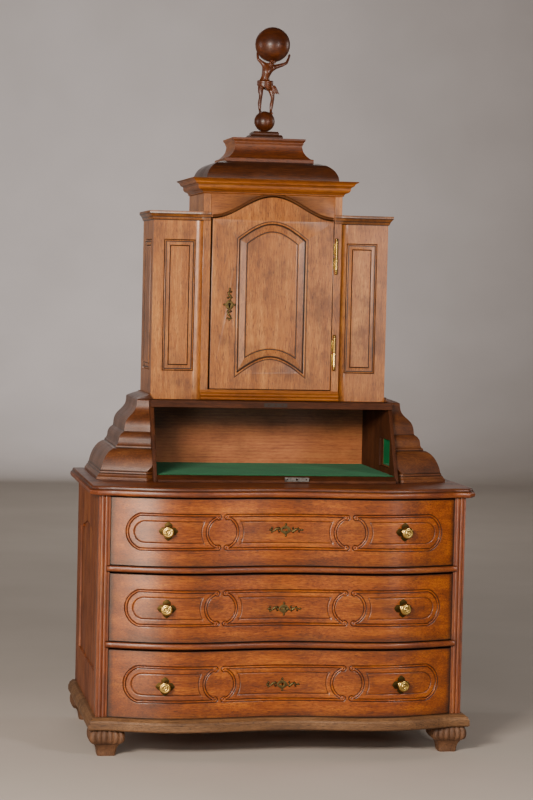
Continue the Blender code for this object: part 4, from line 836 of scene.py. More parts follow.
def middle_field():
    meet = math.degrees(math.asin(FIELD_HALF / FIELD_ROUND))
    inner = arc((ROUNDEL_AT, 0), FIELD_ROUND, 180 + meet, 180 - meet, 12)
    return inner + [(-x, -z) for x, z in inner]


def mirrored(points):
    return [(-x, z) for x, z in reversed(points)]


beads = [side_cartouche(), middle_cartouche(), mirrored(side_cartouche())]
curls = [arc((middle + side * (HORN_GAP - 0.0030), up * (CARTOUCHE_HALF - CURL)), CURL, 0, 345, 23)
         for middle in (-ROUNDEL_AT, ROUNDEL_AT) for side in (-1, 1) for up in (-1, 1)]
beads += curls
fields = [side_field(), middle_field(), mirrored(side_field())]
print("bead points:", [len(loop) for loop in beads])

# %% Relief of the front
# BEAD_STEPS and SCRATCH_STEPS list (distance from the line, height, dark share); the dark share is dark wax
# and painted shade in the grooves beside the bead and the scratched line.
BEAD_STEPS = ((-0.0082, 0.0, 0.06), (-0.0064, 0.0, 0.18), (-0.0054, 0.0, 0.35), (-0.0041, -0.0012, 1.0),
              (-0.0029, -0.0002, 0.6), (-0.0016, 0.0021, 0.0), (0.0, 0.0027, 0.0), (0.0016, 0.0021, 0.0),
              (0.0029, -0.0002, 0.6), (0.0041, -0.0012, 1.0), (0.0054, 0.0, 0.35), (0.0064, 0.0, 0.18),
              (0.0082, 0.0, 0.06))
SCRATCH_STEPS = ((-0.0046, 0.0, 0.0), (-0.0030, 0.0, 0.0), (-0.0012, -0.0004, 0.4), (0.0, -0.0014, 0.7),
                 (0.0012, -0.0004, 0.4), (0.0030, 0.0, 0.0), (0.0046, 0.0, 0.0))


def dense(loop, step=0.004):
    """The closed loop with no span longer than step."""
    points = []
    for here, after in zip(loop, loop[1:] + loop[:1]):
        start, end = Vector(here), Vector(after)
        pieces = max(1, math.ceil((end - start).length / step))
        points += [tuple(start.lerp(end, i / pieces)) for i in range(pieces)]
    return points


def beside(loop, distance):
    """The loop moved sideways by a distance."""
    aside = []
    for before, here, after in zip(loop[-1:] + loop[:-1], loop, loop[1:] + loop[:1]):
        along = Vector(after) - Vector(before)
        normal = Vector((along.y, -along.x)).normalized()
        aside.append((here[0] + normal.x * distance, here[1] + normal.y * distance))
    return aside


def nearest(spot, loop):
    """Distance from a spot to a closed loop."""
    best = 1.0
    px, pz = spot
    for (ax, az), (bx, bz) in zip(loop, loop[1:] + loop[:1]):
        dx, dz = bx - ax, bz - az
        share = max(0.0, min(1.0, ((px - ax) * dx + (pz - az) * dz) / (dx * dx + dz * dz)))
        best = min(best, math.hypot(ax + share * dx - px, az + share * dz - pz))
    return best


def read_steps(steps, distance):
    """Height, and share of dark wax and painted shade, of a section at a distance from its middle."""
    half = steps[len(steps) // 2:]
    for (near_at, near_up, near_dark), (far_at, far_up, far_dark) in zip(half, half[1:]):
        if distance <= far_at:
            share = (distance - near_at) / (far_at - near_at)
            return near_up + (far_up - near_up) * share, near_dark + (far_dark - near_dark) * share
    return 0.0, 0.0


def inside(spot, loop):
    """Whether a spot lies within a closed loop."""
    hit = False
    for (ax, az), (bx, bz) in zip(loop, loop[1:] + loop[:1]):
        if (az > spot[1]) != (bz > spot[1]) and spot[0] < (bx - ax) * (spot[1] - az) / (bz - az) + ax:
            hit = not hit
    return hit


# %% [markdown]
# The three drawers are carved alike, so the sheet is worked out once around z = 0. Each drawer then
# gets its own copy of it, set at its height and drawn back to the flat inner face of the board.

# %% Carve the sheet
def carve_sheet(half_width, low, high, keyhole):
    """Points, triangles, dark share and tone of the carved face, flat, with the keyhole cut out."""
    lines = [dense(beside(loop, at)) for loop in beads for at, _, _ in BEAD_STEPS]
    lines += [dense(beside(loop, at)) for loop in fields for at, _, _ in SCRATCH_STEPS]
    lines.append(keyhole)
    points, edges = [], []
    for loop in lines:
        first = len(points)
        points += loop
        edges += [(first + i, first + (i + 1) % len(loop)) for i in range(len(loop))]
    stations = 72
    for step in range(stations + 1):
        x = half_width * (2 * step / stations - 1)
        points += [(x, low), (x, high)]
        edges.append((len(points) - 2, len(points) - 1))
    rows = [low + rise for rise in (0, 0.003, 0.012, 0.026, 0.045)]
    for z in rows + [high - drop for drop in (0.026, 0.012, 0.003, 0)]:
        points += [(-half_width, z), (half_width, z)]
        edges.append((len(points) - 2, len(points) - 1))
    found = delaunay_2d_cdt([Vector(point) for point in points], edges, [], 0, 1e-6)
    flat, triangles = [tuple(v) for v in found[0]], found[2]
    middles = [(sum(flat[i][0] for i in t) / 3, sum(flat[i][1] for i in t) / 3) for t in triangles]
    triangles = [t for t, spot in zip(triangles, middles) if not inside(spot, keyhole)]
    relief, grime_and_shade, tone = [], [], []
    for spot in flat:
        near_bead = min(nearest(spot, loop) for loop in beads)
        near_line = min(nearest(spot, loop) for loop in fields)
        up, dark = read_steps(BEAD_STEPS, near_bead)
        more_up, more_dark = read_steps(SCRATCH_STEPS, near_line)
        relief.append(up + more_up)
        edge = min(half_width - abs(spot[0]), spot[1] - low, high - spot[1])
        # Dark wax and painted shade from the grooves, and painted shadow of the gaps round the front within 3
        # mm of its edges.
        grime_and_shade.append(max(dark, more_dark, 0.85 * max(0.0, 1 - edge / 0.003)))
        # Tone: a darker cut of wood in the fields, and darker near the edges and towards the bottom.
        field = -0.12 if any(inside(spot, loop) for loop in fields) else 0.0
        below = max(0.0, 1 - (spot[1] - low) / 0.045)
        tone.append(field - 0.32 * max(0.0, 1 - edge / 0.026) - 0.22 * below)
    return flat, triangles, relief, grime_and_shade, tone


def keyhole_outline():
    """Round head with a tapered slot below."""
    return arc((0, 0), 0.0042, -60, 240, 14) + [(-0.0019, -0.0120), (0.0019, -0.0120)]


sheet_low, sheet_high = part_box("middle_drawer_front")
half_height = (sheet_high.z - sheet_low.z) / 2
sheet = carve_sheet(sheet_high.x, -half_height + 0.0005, half_height - 0.0026, keyhole_outline())
print("carved sheet:", len(sheet[0]), "points,", len(sheet[1]), "triangles")


# %% Make the drawer fronts
def add_drawer_front(node):
    """A carved front: the sheet bent to the serpentine, then drawn back to the board's inner face."""
    low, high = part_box(node)
    middle = (low.z + high.z) / 2
    flat, triangles, relief, grime_and_shade, tone = sheet
    points = [(x, y_at(CASE_DEPTH + bulge(x) + up), middle + z) for (x, z), up in zip(flat, relief)]
    piece = new_piece(node + "_carved", points, [], triangles)
    mesh = piece.data
    paint(piece, "grime_and_shade", grime_and_shade)
    paint(piece, "tone", tone)
    shape = bmesh.new()
    shape.from_mesh(mesh)
    layers = [shape.verts.layers.float["grime_and_shade"], shape.verts.layers.float["tone"]]
    rear = bmesh.ops.extrude_face_region(shape, geom=shape.faces[:])["geom"]
    for item in rear:
        if isinstance(item, bmesh.types.BMVert):
            item.co.y = high.y
            for layer in layers:
                item[layer] = 0.0
    bmesh.ops.recalc_face_normals(shape, faces=shape.faces)
    shape.to_mesh(mesh)
    shape.free()
    settle(piece, node, walnut_x, 52)


for level in LEVELS:
    add_drawer_front(level + "_drawer_front")
print("drawer fronts done")

# %% [markdown]
# ## Plates, rosettes and knobs
# The key plates and rosettes are thin castings. A plate starts as a flat outline with its holes, is
# filled and thickened, and its front edge is rounded off. The knobs are turned on a lathe: a section is
# drawn from the tip down, and spun about its axis.

# %% Brass work
def drawn(name, lines, looped=False, radii=None, **settings):
    """A curve through the points of each line, made a mesh; the settings are the curve's own."""
    curve = bpy.data.curves.new(name, "CURVE")
    for key, value in settings.items():
        setattr(curve, key, value)
    for line in lines:
        spline = curve.splines.new("POLY")
        spline.points.add(len(line) - 1)
        for index, (point, spot) in enumerate(zip(spline.points, line)):
            point.co = tuple(spot) + (1.0,)
            point.radius = radii[index] if radii else 1.0
        spline.use_cyclic_u = looped
    piece = bpy.data.objects.new(name, curve)
    bpy.context.scene.collection.objects.link(piece)
    alone(piece)
    bpy.ops.object.convert(target="MESH")
    return bpy.context.view_layer.objects.active


def plate(name, loops, thick, round_edge):
    """A flat plate in the XZ plane, centred on y = 0, front towards -Y; later loops are holes."""
    piece = drawn(name, [[(x, z, 0.0) for x, z in loop] for loop in loops], True, dimensions="2D",
                  fill_mode="BOTH", extrude=thick / 2 - round_edge, bevel_depth=round_edge,
                  bevel_resolution=1, offset=-round_edge)
    piece.data.transform(Matrix.Rotation(math.pi / 2, 4, "X"))
    return merge_skin(piece, 0.00001)


def turned(name, profile, steps=48):
    """A turned solid about Z from (radius, height) pairs, spun in edit mode and merged."""
    piece = new_piece(name, [(radius, 0.0, height) for radius, height in profile],
                      [(i, i + 1) for i in range(len(profile) - 1)], [])
    alone(piece)
    bpy.ops.object.mode_set(mode="EDIT")
    bpy.ops.mesh.select_all(action="SELECT")
    bpy.ops.mesh.spin(steps=steps, angle=2 * math.pi, center=(0, 0, 0), axis=(0, 0, 1))
    bpy.ops.object.mode_set(mode="OBJECT")
    return merge_skin(piece, 0.00001)


def join(name, pieces):
    """One piece of several shells."""
    bpy.ops.object.select_all(action="DESELECT")
    for piece in pieces:
        piece.select_set(True)
    bpy.context.view_layer.objects.active = pieces[0]
    bpy.ops.object.join()
    whole = bpy.context.view_layer.objects.active
    whole.name = name
    return whole


KNOB_AT = 0.370


def add_knob(node):
    """A ringed knob on a four-lobed rosette, square to the swelling where it stands."""
    low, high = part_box(node)
    x, z = math.copysign(KNOB_AT, low.x), (low.z + high.z) / 2
    reach, radius = 0.0322, 0.0183
    line = [(0.0, 1.0), (0.10, 1.0), (0.16, 0.985), (0.20, 0.955), (0.30, 0.955), (0.36, 0.975),
            (0.42, 0.955), (0.50, 0.925), (0.62, 0.925), (0.70, 0.94), (0.80, 0.925), (0.93, 0.87),
            (1.0, 0.79), (0.97, 0.70), (0.80, 0.62), (0.46, 0.54), (0.36, 0.46), (0.34, 0.32),
            (0.42, 0.22), (0.62, 0.15), (0.66, 0.08)]
    profile = [(r * radius, h * reach) for r, h in line] + [(0.66 * radius, 0.001), (0.0, 0.001)]
    ball = darken(turned(node + "_turned", profile), lambda spot: 0.0)
    ball.data.transform(Matrix.Rotation(math.pi / 2, 4, "X"))
    petals, rose_radius, around = [], 0.0285, 96
    for step in range(around):
        turn = 2 * math.pi * step / around
        lobes = 0.60 + 0.40 * ((1 + math.cos(4 * turn)) / 2) ** 0.55 + 0.03 * math.cos(12 * turn)
        petals.append((rose_radius * lobes * math.cos(turn), rose_radius * lobes * math.sin(turn)))
    rose = moved(plate(node + "_rose", [petals], 0.0022, 0.0008), 0, -0.0012, 0)
    whole = join(node + "_turned", [ball, darken(rose, lambda spot: 0.93)])
    slope = (bulge(abs(x) + 0.002) - bulge(abs(x) - 0.002)) / 0.004 * (1 if x > 0 else -1)
    place = Matrix.Translation((x, y_at(CASE_DEPTH + bulge(x) + 0.0002), z))
    whole.data.transform(place @ Matrix.Rotation(math.atan(-slope), 4, "Z"))
    settle(whole, node, brass, 40)


for level in LEVELS:
    for side in SIDES:
        add_knob("%s_%s_knob" % (level, side))
print("knobs done")

# %% [markdown]
# ## Key plates
# A cast plate is a boss round the keyhole with a scroll above, a scroll below and small leaf buds.
# The scrolls are bars bent along a line, thick in the middle and thin at their ends. The drawers' plates
# lie on their sides and are bent to the hollow middle of the front; the middle one still has its cover.

# %% Scrolls, buds and plates
def bar(name, points, radius, thin_ends=True):
    """A round bar along points in the XZ plane, thinner at its ends, made a mesh."""
    last = len(points) - 1
    radii = [0.45 + 0.55 * math.sin(math.pi * (i / last)) for i in range(last + 1)] if thin_ends else None
    return drawn(name, [[(x, 0.0, z) for x, z in points]], radii=radii, dimensions="3D", bevel_depth=radius,
                 bevel_resolution=2, use_fill_caps=True)


def bud(name, x, z, radius, long=1.5, turn=0.0):
    """A flattened leaf bud."""
    piece = sphere(name, radius, 14, 8)
    piece.data.transform(Matrix.Translation((x, 0, z)) @ Matrix.Rotation(turn, 4, "Y")
                         @ Matrix.Diagonal((1.0, 0.6, long, 1.0)))
    return piece


BUDS = ((0.0, 0.0485, 0.0026, 1.55, 0.0), (0.0050, 0.0400, 0.0021, 1.5, 0.7),
        (-0.0048, 0.0365, 0.0020, 1.5, -0.8), (0.0062, 0.0215, 0.0022, 1.4, 0.9),
        (-0.0064, 0.0205, 0.0022, 1.4, -0.9), (-0.0172, -0.001, 0.0027, 1.2, 1.57),
        (0.0172, -0.001, 0.0027, 1.2, 1.57), (0.0, -0.0480, 0.0030, 1.2, 0.0),
        (0.0062, -0.0445, 0.0024, 1.3, 2.3), (-0.0062, -0.0445, 0.0024, 1.3, -2.3),
        (0.0058, -0.0215, 0.0020, 1.4, 2.4), (-0.0060, -0.0215, 0.0020, 1.4, -2.4))


def scroll_plate(name):
    """An upright key plate about 104 by 42 mm, its keyhole at the origin, lying on y = 0."""
    oval = [(0.0128 * math.cos(t) * (1 + 0.10 * math.cos(4 * t)), 0.0160 * math.sin(t) - 0.002)
            for t in [2 * math.pi * i / 40 for i in range(40)]]
    boss = plate(name + "_boss", [oval, list(reversed(keyhole_outline()))], 0.0022, 0.0007)
    pieces = [moved(boss, 0, -0.0011, 0)]
    rim = [(x * 0.86, (z + 0.002) * 0.86 - 0.002) for x, z in oval]
    pieces.append(bar(name + "_rim", rim + rim[:1], 0.0010, False))
    rise = [(0.0045 * math.sin(t * 2.1) * (1.15 - 0.5 * t / 3), 0.0135 + 0.0098 * t) for t in
            [3.3 * i / 24 for i in range(25)]]
    pieces.append(bar(name + "_upper_scroll", rise, 0.0036))
    curl = arc((-0.0010, 0.0265), 0.0042, -150, 110, 12)
    pieces.append(bar(name + "_upper_curl", curl, 0.0026))
    fall = [(-0.0052 * math.sin(t * 1.7), -0.0165 - 0.0100 * t) for t in [2.7 * i / 24 for i in range(25)]]
    pieces.append(bar(name + "_lower_scroll", fall, 0.0036))
    pieces.append(bar(name + "_lower_curl", arc((0.0012, -0.0285), 0.0040, 30, 290, 12), 0.0025))
    for x, z, radius, long, turn in BUDS:
        pieces.append(bud(name + "_bud", x, z, 1.35 * radius, long, turn))
    whole = join(name + "_plate", pieces)
    for vertex in whole.data.vertices:
        if vertex.co.y > -0.0002:
            vertex.co.y = -0.0002
    return darken(whole, lambda spot: 0.95 if spot.y > -0.0016 else 0.5 if spot.y > -0.0024 else 0.1)


DOOR_KEY_X = -0.1365
low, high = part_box("door_key_plate")
door_plate = moved(scroll_plate("door_key_plate"), DOOR_KEY_X, high.y, (low.z + high.z) / 2)
settle(door_plate, "door_key_plate", old_brass, 45)

for level in LEVELS:
    node = level + "_key_plate"
    low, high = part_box(node)
    lying = scroll_plate(node)
    lying.data.transform(Matrix.Rotation(math.pi / 2, 4, "Y"))
    if level == "middle":
        flap = [(-0.0035, 0.0025), (0.0030, -0.0035), (0.0190, 0.0080), (0.0160, 0.0120)]
        cover = plate(node + "_cover", [flap], 0.0012, 0.0004)
        swung = Matrix.Rotation(0.18 * math.pi, 4, "Y")
        cover.data.transform(Matrix.Translation((-0.008, -0.0030, 0)) @ swung)
        lying = join(lying.name, [lying, cover])
    for vertex in lying.data.vertices:
        vertex.co.y += y_at(CASE_DEPTH + bulge(vertex.co.x) + FIT)
        vertex.co.z += (low.z + high.z) / 2
    settle(lying, node, old_brass, 45)
print("key plates done")

# %% [markdown]
# ## Writing section
# The two flanks are moulded casings: one section of coves, steps and swellings runs down from the
# cabinet to the chest on the front and on the outer side, and meets in a mitre at the corner. The inner
# front corner is canted at the foot. Between them lies the floor with its green baize.

# %% Flanks
FLANK_SECTION = (
    (1.000, 0.000), (1.000, 0.030), (0.975, 0.048), (0.962, 0.068), (0.945, 0.074), (0.938, 0.098),
    (0.925, 0.104), (0.905, 0.165), (0.850, 0.255), (0.775, 0.322), (0.695, 0.360), (0.645, 0.370),
    (0.642, 0.392), (0.618, 0.402), (0.598, 0.432), (0.584, 0.490), (0.545, 0.532), (0.515, 0.548),
    (0.492, 0.560), (0.488, 0.585), (0.478, 0.640), (0.450, 0.692), (0.400, 0.735), (0.325, 0.785),
    (0.280, 0.830), (0.262, 0.880), (0.256, 0.932), (0.236, 0.942), (0.150, 0.966), (0.040, 0.990),
    (0.030, 1.000))
POCKET = {"inner": 0.3800, "outer": 0.430, "back": 0.290, "front_foot": 0.440, "front_head": 0.390,
          "foot": 0.044, "head": 0.132}


def add_flank(node, side):
    """One moulded flank; side is -1 for the left."""
    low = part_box(node)[0]
    width, height, splay, wall_back = 0.180, 0.264, math.radians(21), 0.055
    mitre = (1 - math.sin(splay)) / math.cos(splay)
    base_corner, inner_x, wall_x, top_corner = 0.3843, 0.3933, 0.3840, 0.327
    line = section([(share * width, level * height) for share, level in FLANK_SECTION], ease=0.0008,
                   outward=True)
    rings, grime_and_shade = [], []
    for reach, level, dark in line:
        corner_x = base_corner + reach
        corner_depth = top_corner + mitre * reach
        cant = 0.020 * min(1.0, max(0.02, 1 - (level / height - 0.10) / 0.075))
        narrow = inner_x if level < 0.2493 else wall_x
        narrow = min(narrow, corner_x - 0.0004)
        cant = min(cant, (corner_x - narrow) / 2)
        front_at = corner_depth + (corner_x - narrow) * math.tan(splay)
        canted_at = corner_depth + (corner_x - narrow - cant) * math.tan(splay)
        ring = [(narrow, y_at(front_at - cant)), (narrow + cant, y_at(canted_at)),
                (corner_x, y_at(corner_depth)), (corner_x, y_at(wall_back)), (narrow, y_at(wall_back))]
        rings.append([(side * x, y, low.z + level) for x, y in ring])
        grime_and_shade.append(dark)
    flank = loft(node + "_moulded", rings, grime_and_shade)
    cheek = [(y_at(POCKET[depth]), low.z + POCKET[level]) for depth, level in (
        ("back", "foot"), ("front_foot", "foot"), ("front_head", "head"), ("back", "head"))]
    hollow = loft(node + "_hollow", [[(side * POCKET[edge], y, z) for y, z in cheek]
                                     for edge in ("inner", "outer")])
    settle(cut_out(flank, hollow), node, [brown_x, brown_y], 30)
    by_side(flank, 0.0)


add_flank("left_flank", -1)
add_flank("right_flank", 1)


# %% Lock plates
def add_lock_plate(name, middle_x, size, front, middle_z, holes, node, dark):
    """A thin iron plate let into an edge, with its holes."""
    wide, tall = size
    outline = [(-wide / 2, -tall / 2), (wide / 2, -tall / 2), (wide / 2, tall / 2), (-wide / 2, tall / 2)]
    cuts = [arc((x, 0), radius, 0, -330, 11) for x, radius in holes]
    piece = moved(plate(name, [outline] + cuts, 0.0016, 0.0003), middle_x, front - 0.0001, middle_z)
    settle(darken(piece, lambda spot: dark), node, iron, 0, replaces=False)


low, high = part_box("writing_floor")
add_lock_plate("floor_lock_plate", 0.060, (0.078, 0.0135), low.y, high.z - 0.0085,
               ((-0.030, 0.0021), (0.0, 0.0035), (0.030, 0.0021)), "writing_floor", 0.0)
low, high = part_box("writing_top")
add_lock_plate("top_strike_plate", 0.010, (0.075, 0.0125), low.y, (low.z + high.z) / 2,
               ((-0.022, 0.0030), (0.0, 0.0030), (0.022, 0.0030)), "writing_top", 0.9)
print("strike plate on the board from", [round(v, 3) for v in low], "to", [round(v, 3) for v in high])

# %% Baize
def add_baize():
    """The cloth on the floor: a thin felt, a little lumpy, with a ragged cut front edge."""
    low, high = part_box("baize")
    bpy.ops.object.select_all(action="DESELECT")
    bpy.ops.mesh.primitive_grid_add(x_subdivisions=120, y_subdivisions=80, size=1.0)
    cloth = bpy.context.view_layer.objects.active
    cloth.name = "baize_cloth"
    width, deep = high.x - low.x - 0.001, high.y - low.y - 0.001
    for vertex in cloth.data.vertices:
        x, y = vertex.co.x, vertex.co.y
        lump = 0.00025 * math.sin(31 * x + 5 * y) * math.sin(23 * y - 7 * x)
        worn = math.sin(47 * x) * math.sin(19 * x + 2) + 0.3 * math.sin(131 * x)
        fray = 0.0035 * max(0.0, 1 - (y + 0.5) * 40) * abs(worn)
        vertex.co = ((low.x + high.x) / 2 + x * width, (low.y + high.y) / 2 + y * deep + fray,
                     low.z + FIT + abs(lump))
    apply_modifier(cloth, "SOLIDIFY", thickness=0.0011, offset=1.0)
    settle(cloth, "baize", baize_green, 60)
    return cloth


def add_lining():
    """Green baize on the bottom, the outer side and the back of the right pocket."""
    low, thick, inner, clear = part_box("right_flank")[0].z, 0.0010, 0.3945, 0.0003
    foot, head, outer = low + POCKET["foot"], low + POCKET["head"] - 0.003, POCKET["outer"] - clear
    back, slope, front = POCKET["back"] + 0.003, POCKET["front_head"] - 0.003, POCKET["front_foot"] - 0.006
    low_head = foot + 0.006
    rings = []
    for depth, top in ((back, head), (slope, head), (front, low_head)):
        line = [(inner, foot + clear), (outer, foot + clear), (outer, top), (outer - thick, top),
                (outer - thick, foot + clear + thick), (inner, foot + clear + thick)]
        rings.append([(x, y_at(depth), z) for x, z in line])
    flap = straight_board("pocket_back_flap", (inner, outer - thick), (y_at(back + thick), y_at(back)),
                          (foot + clear + thick, head), 0.0002)
    lining = join("pocket_lining", [loft("pocket_lining_cut", rings), flap])
    settle(lining, "right_flank", baize_green, 0, replaces=False)


add_lining()
cloth = add_baize()
print("baize %.0f x %.0f mm" % (1000 * cloth.dimensions.x, 1000 * cloth.dimensions.y))

# %% [markdown]
# ## The cabinet
# Two wings with sunk panels stand beside a centre that comes a little forward, with a cove between.
# A panel moulding here is one small section carried round a rectangle or an arch: loops of the same
# count lie inside one another at set distances and heights, and a skin joins them.

# %% Panel mouldings
def rectangle_at(low_across, high_across, foot, head):
    """A function that gives the rectangle drawn in by a distance."""
    def loop_at(inset):
        return [(low_across + inset, foot + inset), (high_across - inset, foot + inset),
                (high_across - inset, head - inset), (low_across + inset, head - inset)]
    return loop_at


def framed(name, loop_at, steps, depth_at, facing="front", looped=False):
    """Loops inside one another: steps give (distance inwards, proud, dark share) from depth_at;
    the dark share is dark wax and painted shade in the grooves.

    loop_at(distance) gives the outline at that distance inwards. Looped, the last loop joins the first
    and makes a ring; otherwise the first and last loops are filled and make a panel.
    """
    shape = bmesh.new()
    layer = shape.verts.layers.float.new("grime_and_shade")
    rings = []
    for distance, proud, dark in steps:
        ring = []
        for across, z in loop_at(distance):
            if facing == "front":
                spot = (across, y_at(depth_at + proud), z)
            else:
                side = 1 if facing == "right" else -1
                spot = (side * (depth_at + proud), across, z)
            vertex = shape.verts.new(spot)
            vertex[layer] = dark
            ring.append(vertex)
        rings.append(ring)
    pairs = list(zip(rings, rings[1:])) + ([(rings[-1], rings[0])] if looped else [])
    for outer, inner in pairs:
        for index in range(len(outer)):
            after = (index + 1) % len(outer)
            shape.faces.new((outer[index], outer[after], inner[after], inner[index]))
    if not looped:
        shape.faces.new(rings[-1])
        shape.faces.new(rings[0])
    bmesh.ops.recalc_face_normals(shape, faces=shape.faces)
    piece = new_piece(name, [], [], [])
    shape.to_mesh(piece.data)
    shape.free()
    return piece


print("panel helper ready")

# %% Wings
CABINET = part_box("centre_carcase")[0].z - FIT
# PANEL_RING lists (distance inwards, proud, dark share); the dark share is dark wax and painted shade in the
# grooves round the wing panels.
PANEL_RING = ((0.0003, -0.0038, 0.95), (0.0010, -0.0030, 0.95), (0.0026, 0.0002, 0.8), (0.0036, 0.0009, 0.0),
              (0.0050, 0.0008, 0.1), (0.0060, -0.0004, 0.8), (0.0068, -0.0026, 0.95), (0.0084, -0.0026, 0.9),
              (0.0098, -0.0026, 0.1), (0.0180, -0.0008, 0.0), (0.0192, -0.0016, 0.9), (0.0216, -0.0038, 0.95))


def line_dark(piece, heights, half_line=0.0008, fade=0.0020, above=None):
    """Painted shade along level lines: the skin is cut beside each height and painted between the cuts."""
    shape = bmesh.new()
    shape.from_mesh(piece.data)
    for height in heights:
        for offset in (-fade, -half_line, half_line, fade):
            bmesh.ops.bisect_plane(shape, geom=shape.verts[:] + shape.edges[:] + shape.faces[:],
                                   plane_co=(0, 0, height + offset), plane_no=(0, 0, 1))
    shape.to_mesh(piece.data)
    shape.free()
    values = []
    for vertex in piece.data.vertices:
        near = min(abs(vertex.co.z - height) for height in heights)
        dark = 0.9 * max(0.0, min(1.0, (fade - near) / (fade - half_line)))
        values.append(max(dark, 0.4 if above and vertex.co.z > above else 0.0))
    paint(piece, "grime_and_shade", values)


def add_wing(node, side):
    """A wing with a moulded ring let into the groove of its front and side panel."""
    wing = dressed(node, oak_z, 0.0006)
    steps_at = CABINET + 0.574
    # Painted shadow under the steps of the wing's cornice; the cornice above the lowest step is painted a
    # little darker as well.
    line_dark(wing, [steps_at + step for step in (0.0, 0.0099, 0.0203)], above=CABINET + 0.575)
    foot, head = CABINET + 0.091, CABINET + 0.513
    middle = side * 0.298
    front = rectangle_at(middle - 0.051, middle + 0.051, foot, head)
    rings = [framed(node + "_front_ring", front, PANEL_RING, 0.328, looped=True)]
    centre_y = y_at((0.055 + 0.328) / 2)
    flat = rectangle_at(centre_y - 0.085, centre_y + 0.085, foot, head)
    rings.append(framed(node + "_side_ring", flat, PANEL_RING, 0.3837, "right" if side > 0 else "left", True))
    settle(join(node + "_panel_rings", rings), node, oak_z, 40, replaces=False)


add_wing("left_wing", -1)
add_wing("right_wing", 1)

# %% [markdown]
# ## Centre of the cabinet
# Two stiles stand beside the door, with an arched frieze between their heads and a reeded rail at
# their foot. The frieze's grain runs across and the stiles' runs up, so they are separate boards here.

# %% Stiles, frieze and foot rail
ARCH_HALF, ARCH_SHOULDER, ARCH_RISE, CENTRE_FRONT = 0.2022, 0.585, 0.072, 0.345


def arch_line(half, shoulder, rise, count=64):
    """The ogee head of door and frieze, from right to left."""
    shares = [1 - 2 * step / count for step in range(count + 1)]
    return [(half * s, shoulder + rise * (1 + math.cos(math.pi * s)) / 2) for s in shares]


def add_centre():
    """The cabinet's centre as its maker joined it."""
    low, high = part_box("centre_carcase")
    front, back, half = y_at(CENTRE_FRONT), high.y, high.x
    stile = ARCH_HALF - 0.0002
    boards = []
    for side in (-1, 1):
        x_span = sorted((side * stile, side * half))
        boards.append(straight_board("stile", x_span, (front, front + 0.022), (low.z, high.z)))
        cheek = sorted((side * half, side * (half - 0.012)))
        boards.append(straight_board("cheek", cheek, (front + 0.0222, back), (low.z, high.z)))
    upright = join("centre_stiles", boards)
    settle(upright, "centre_carcase", oak_z, 32)
    head = [(-stile + 0.0004, high.z), (-stile + 0.0004, CABINET + ARCH_SHOULDER)]
    head += arch_line(stile - 0.0008, CABINET + ARCH_SHOULDER + 0.0004, ARCH_RISE)[::-1]
    head += [(stile - 0.0004, CABINET + ARCH_SHOULDER), (stile - 0.0004, high.z)]
    frieze = moved(plate("centre_frieze", [head], 0.021, 0.0007), 0, front + 0.0110, 0)

    def edge_dark(spot):
        """Painted shade along the arched edge."""
        arch = ARCH_RISE * (1 + math.cos(math.pi * spot.x / stile)) / 2
        return 0.8 if abs(spot.z - CABINET - ARCH_SHOULDER - arch) < 0.0016 else 0.0

    darken(frieze, edge_dark)
    line = [(x, z + 0.0052) for x, z in arch_line(stile - 0.005, CABINET + ARCH_SHOULDER, ARCH_RISE)]
    lip = moved(bar("frieze_lip", line, 0.0052, False), 0, front + 0.0016, 0)
    # The bead under the arch is painted dark all over: painted shade along the arch.
    darken(lip, lambda spot: 0.7)
    rail_line = [(0.002, 0.0)]
    for reed in range(2):
        for turn in range(-80, 81, 16):
            rail_line.append((-0.0085 + reed * 0.0028 - 0.0052 * math.cos(math.radians(turn)),
                              0.0054 + reed * 0.0110 + 0.0054 * math.sin(math.radians(turn))))
    rail_line += [(-0.0030, 0.0235), (0.0004, 0.0330), (0.002, 0.0332)]
    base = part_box("centre_carcase")[0].z + FIT
    rings = [[(side * (half - 0.0004), front + inset, base + level) for inset, level in rail_line]
             for side in (-1, 1)]
    board = straight_board("foot_board", (-stile + 0.0004, stile - 0.0004), (front, front + 0.0215),
                           (low.z + 0.0002, CABINET + 0.0335))
    rail = loft("centre_foot_rail", rings)
    across = join("centre_cross_boards", [frieze, lip, rail, board])
    settle(across, "centre_carcase", oak_x, 35, replaces=False)


add_centre()
print("cabinet centre done")

# %% [markdown]
# ## Door
# The door is a wide frame round a fielded panel. A bead between two grooves is worked on the frame
# round the panel, and the panel slopes up from it to a flat field with a scratched edge.

# %% Door frame and panel
def panel_loop(inset, count=48):
    """The door panel's outline drawn in by a distance: arched head, and a foot that arches up."""
    whole, rise_foot, rise_head = 0.107, 0.050, 0.052
    foot, head = CABINET + 0.0335 + 0.058, CABINET + 0.0335 + 0.482
    lower, upper = [], []
    for step in range(count + 1):
        x = (whole - inset) * (2 * step / count - 1)
        turn = math.pi / 2 * x / whole
        lean_foot = rise_foot * math.pi / 2 / whole * math.sin(turn)
        lean_head = rise_head * math.pi / 2 / whole * math.sin(turn)
        lower.append((x, foot + rise_foot * math.cos(turn) + inset * math.hypot(1, lean_foot)))
        upper.append((x, head + rise_head * math.cos(turn) - inset * math.hypot(1, lean_head)))
    return lower + upper[::-1]


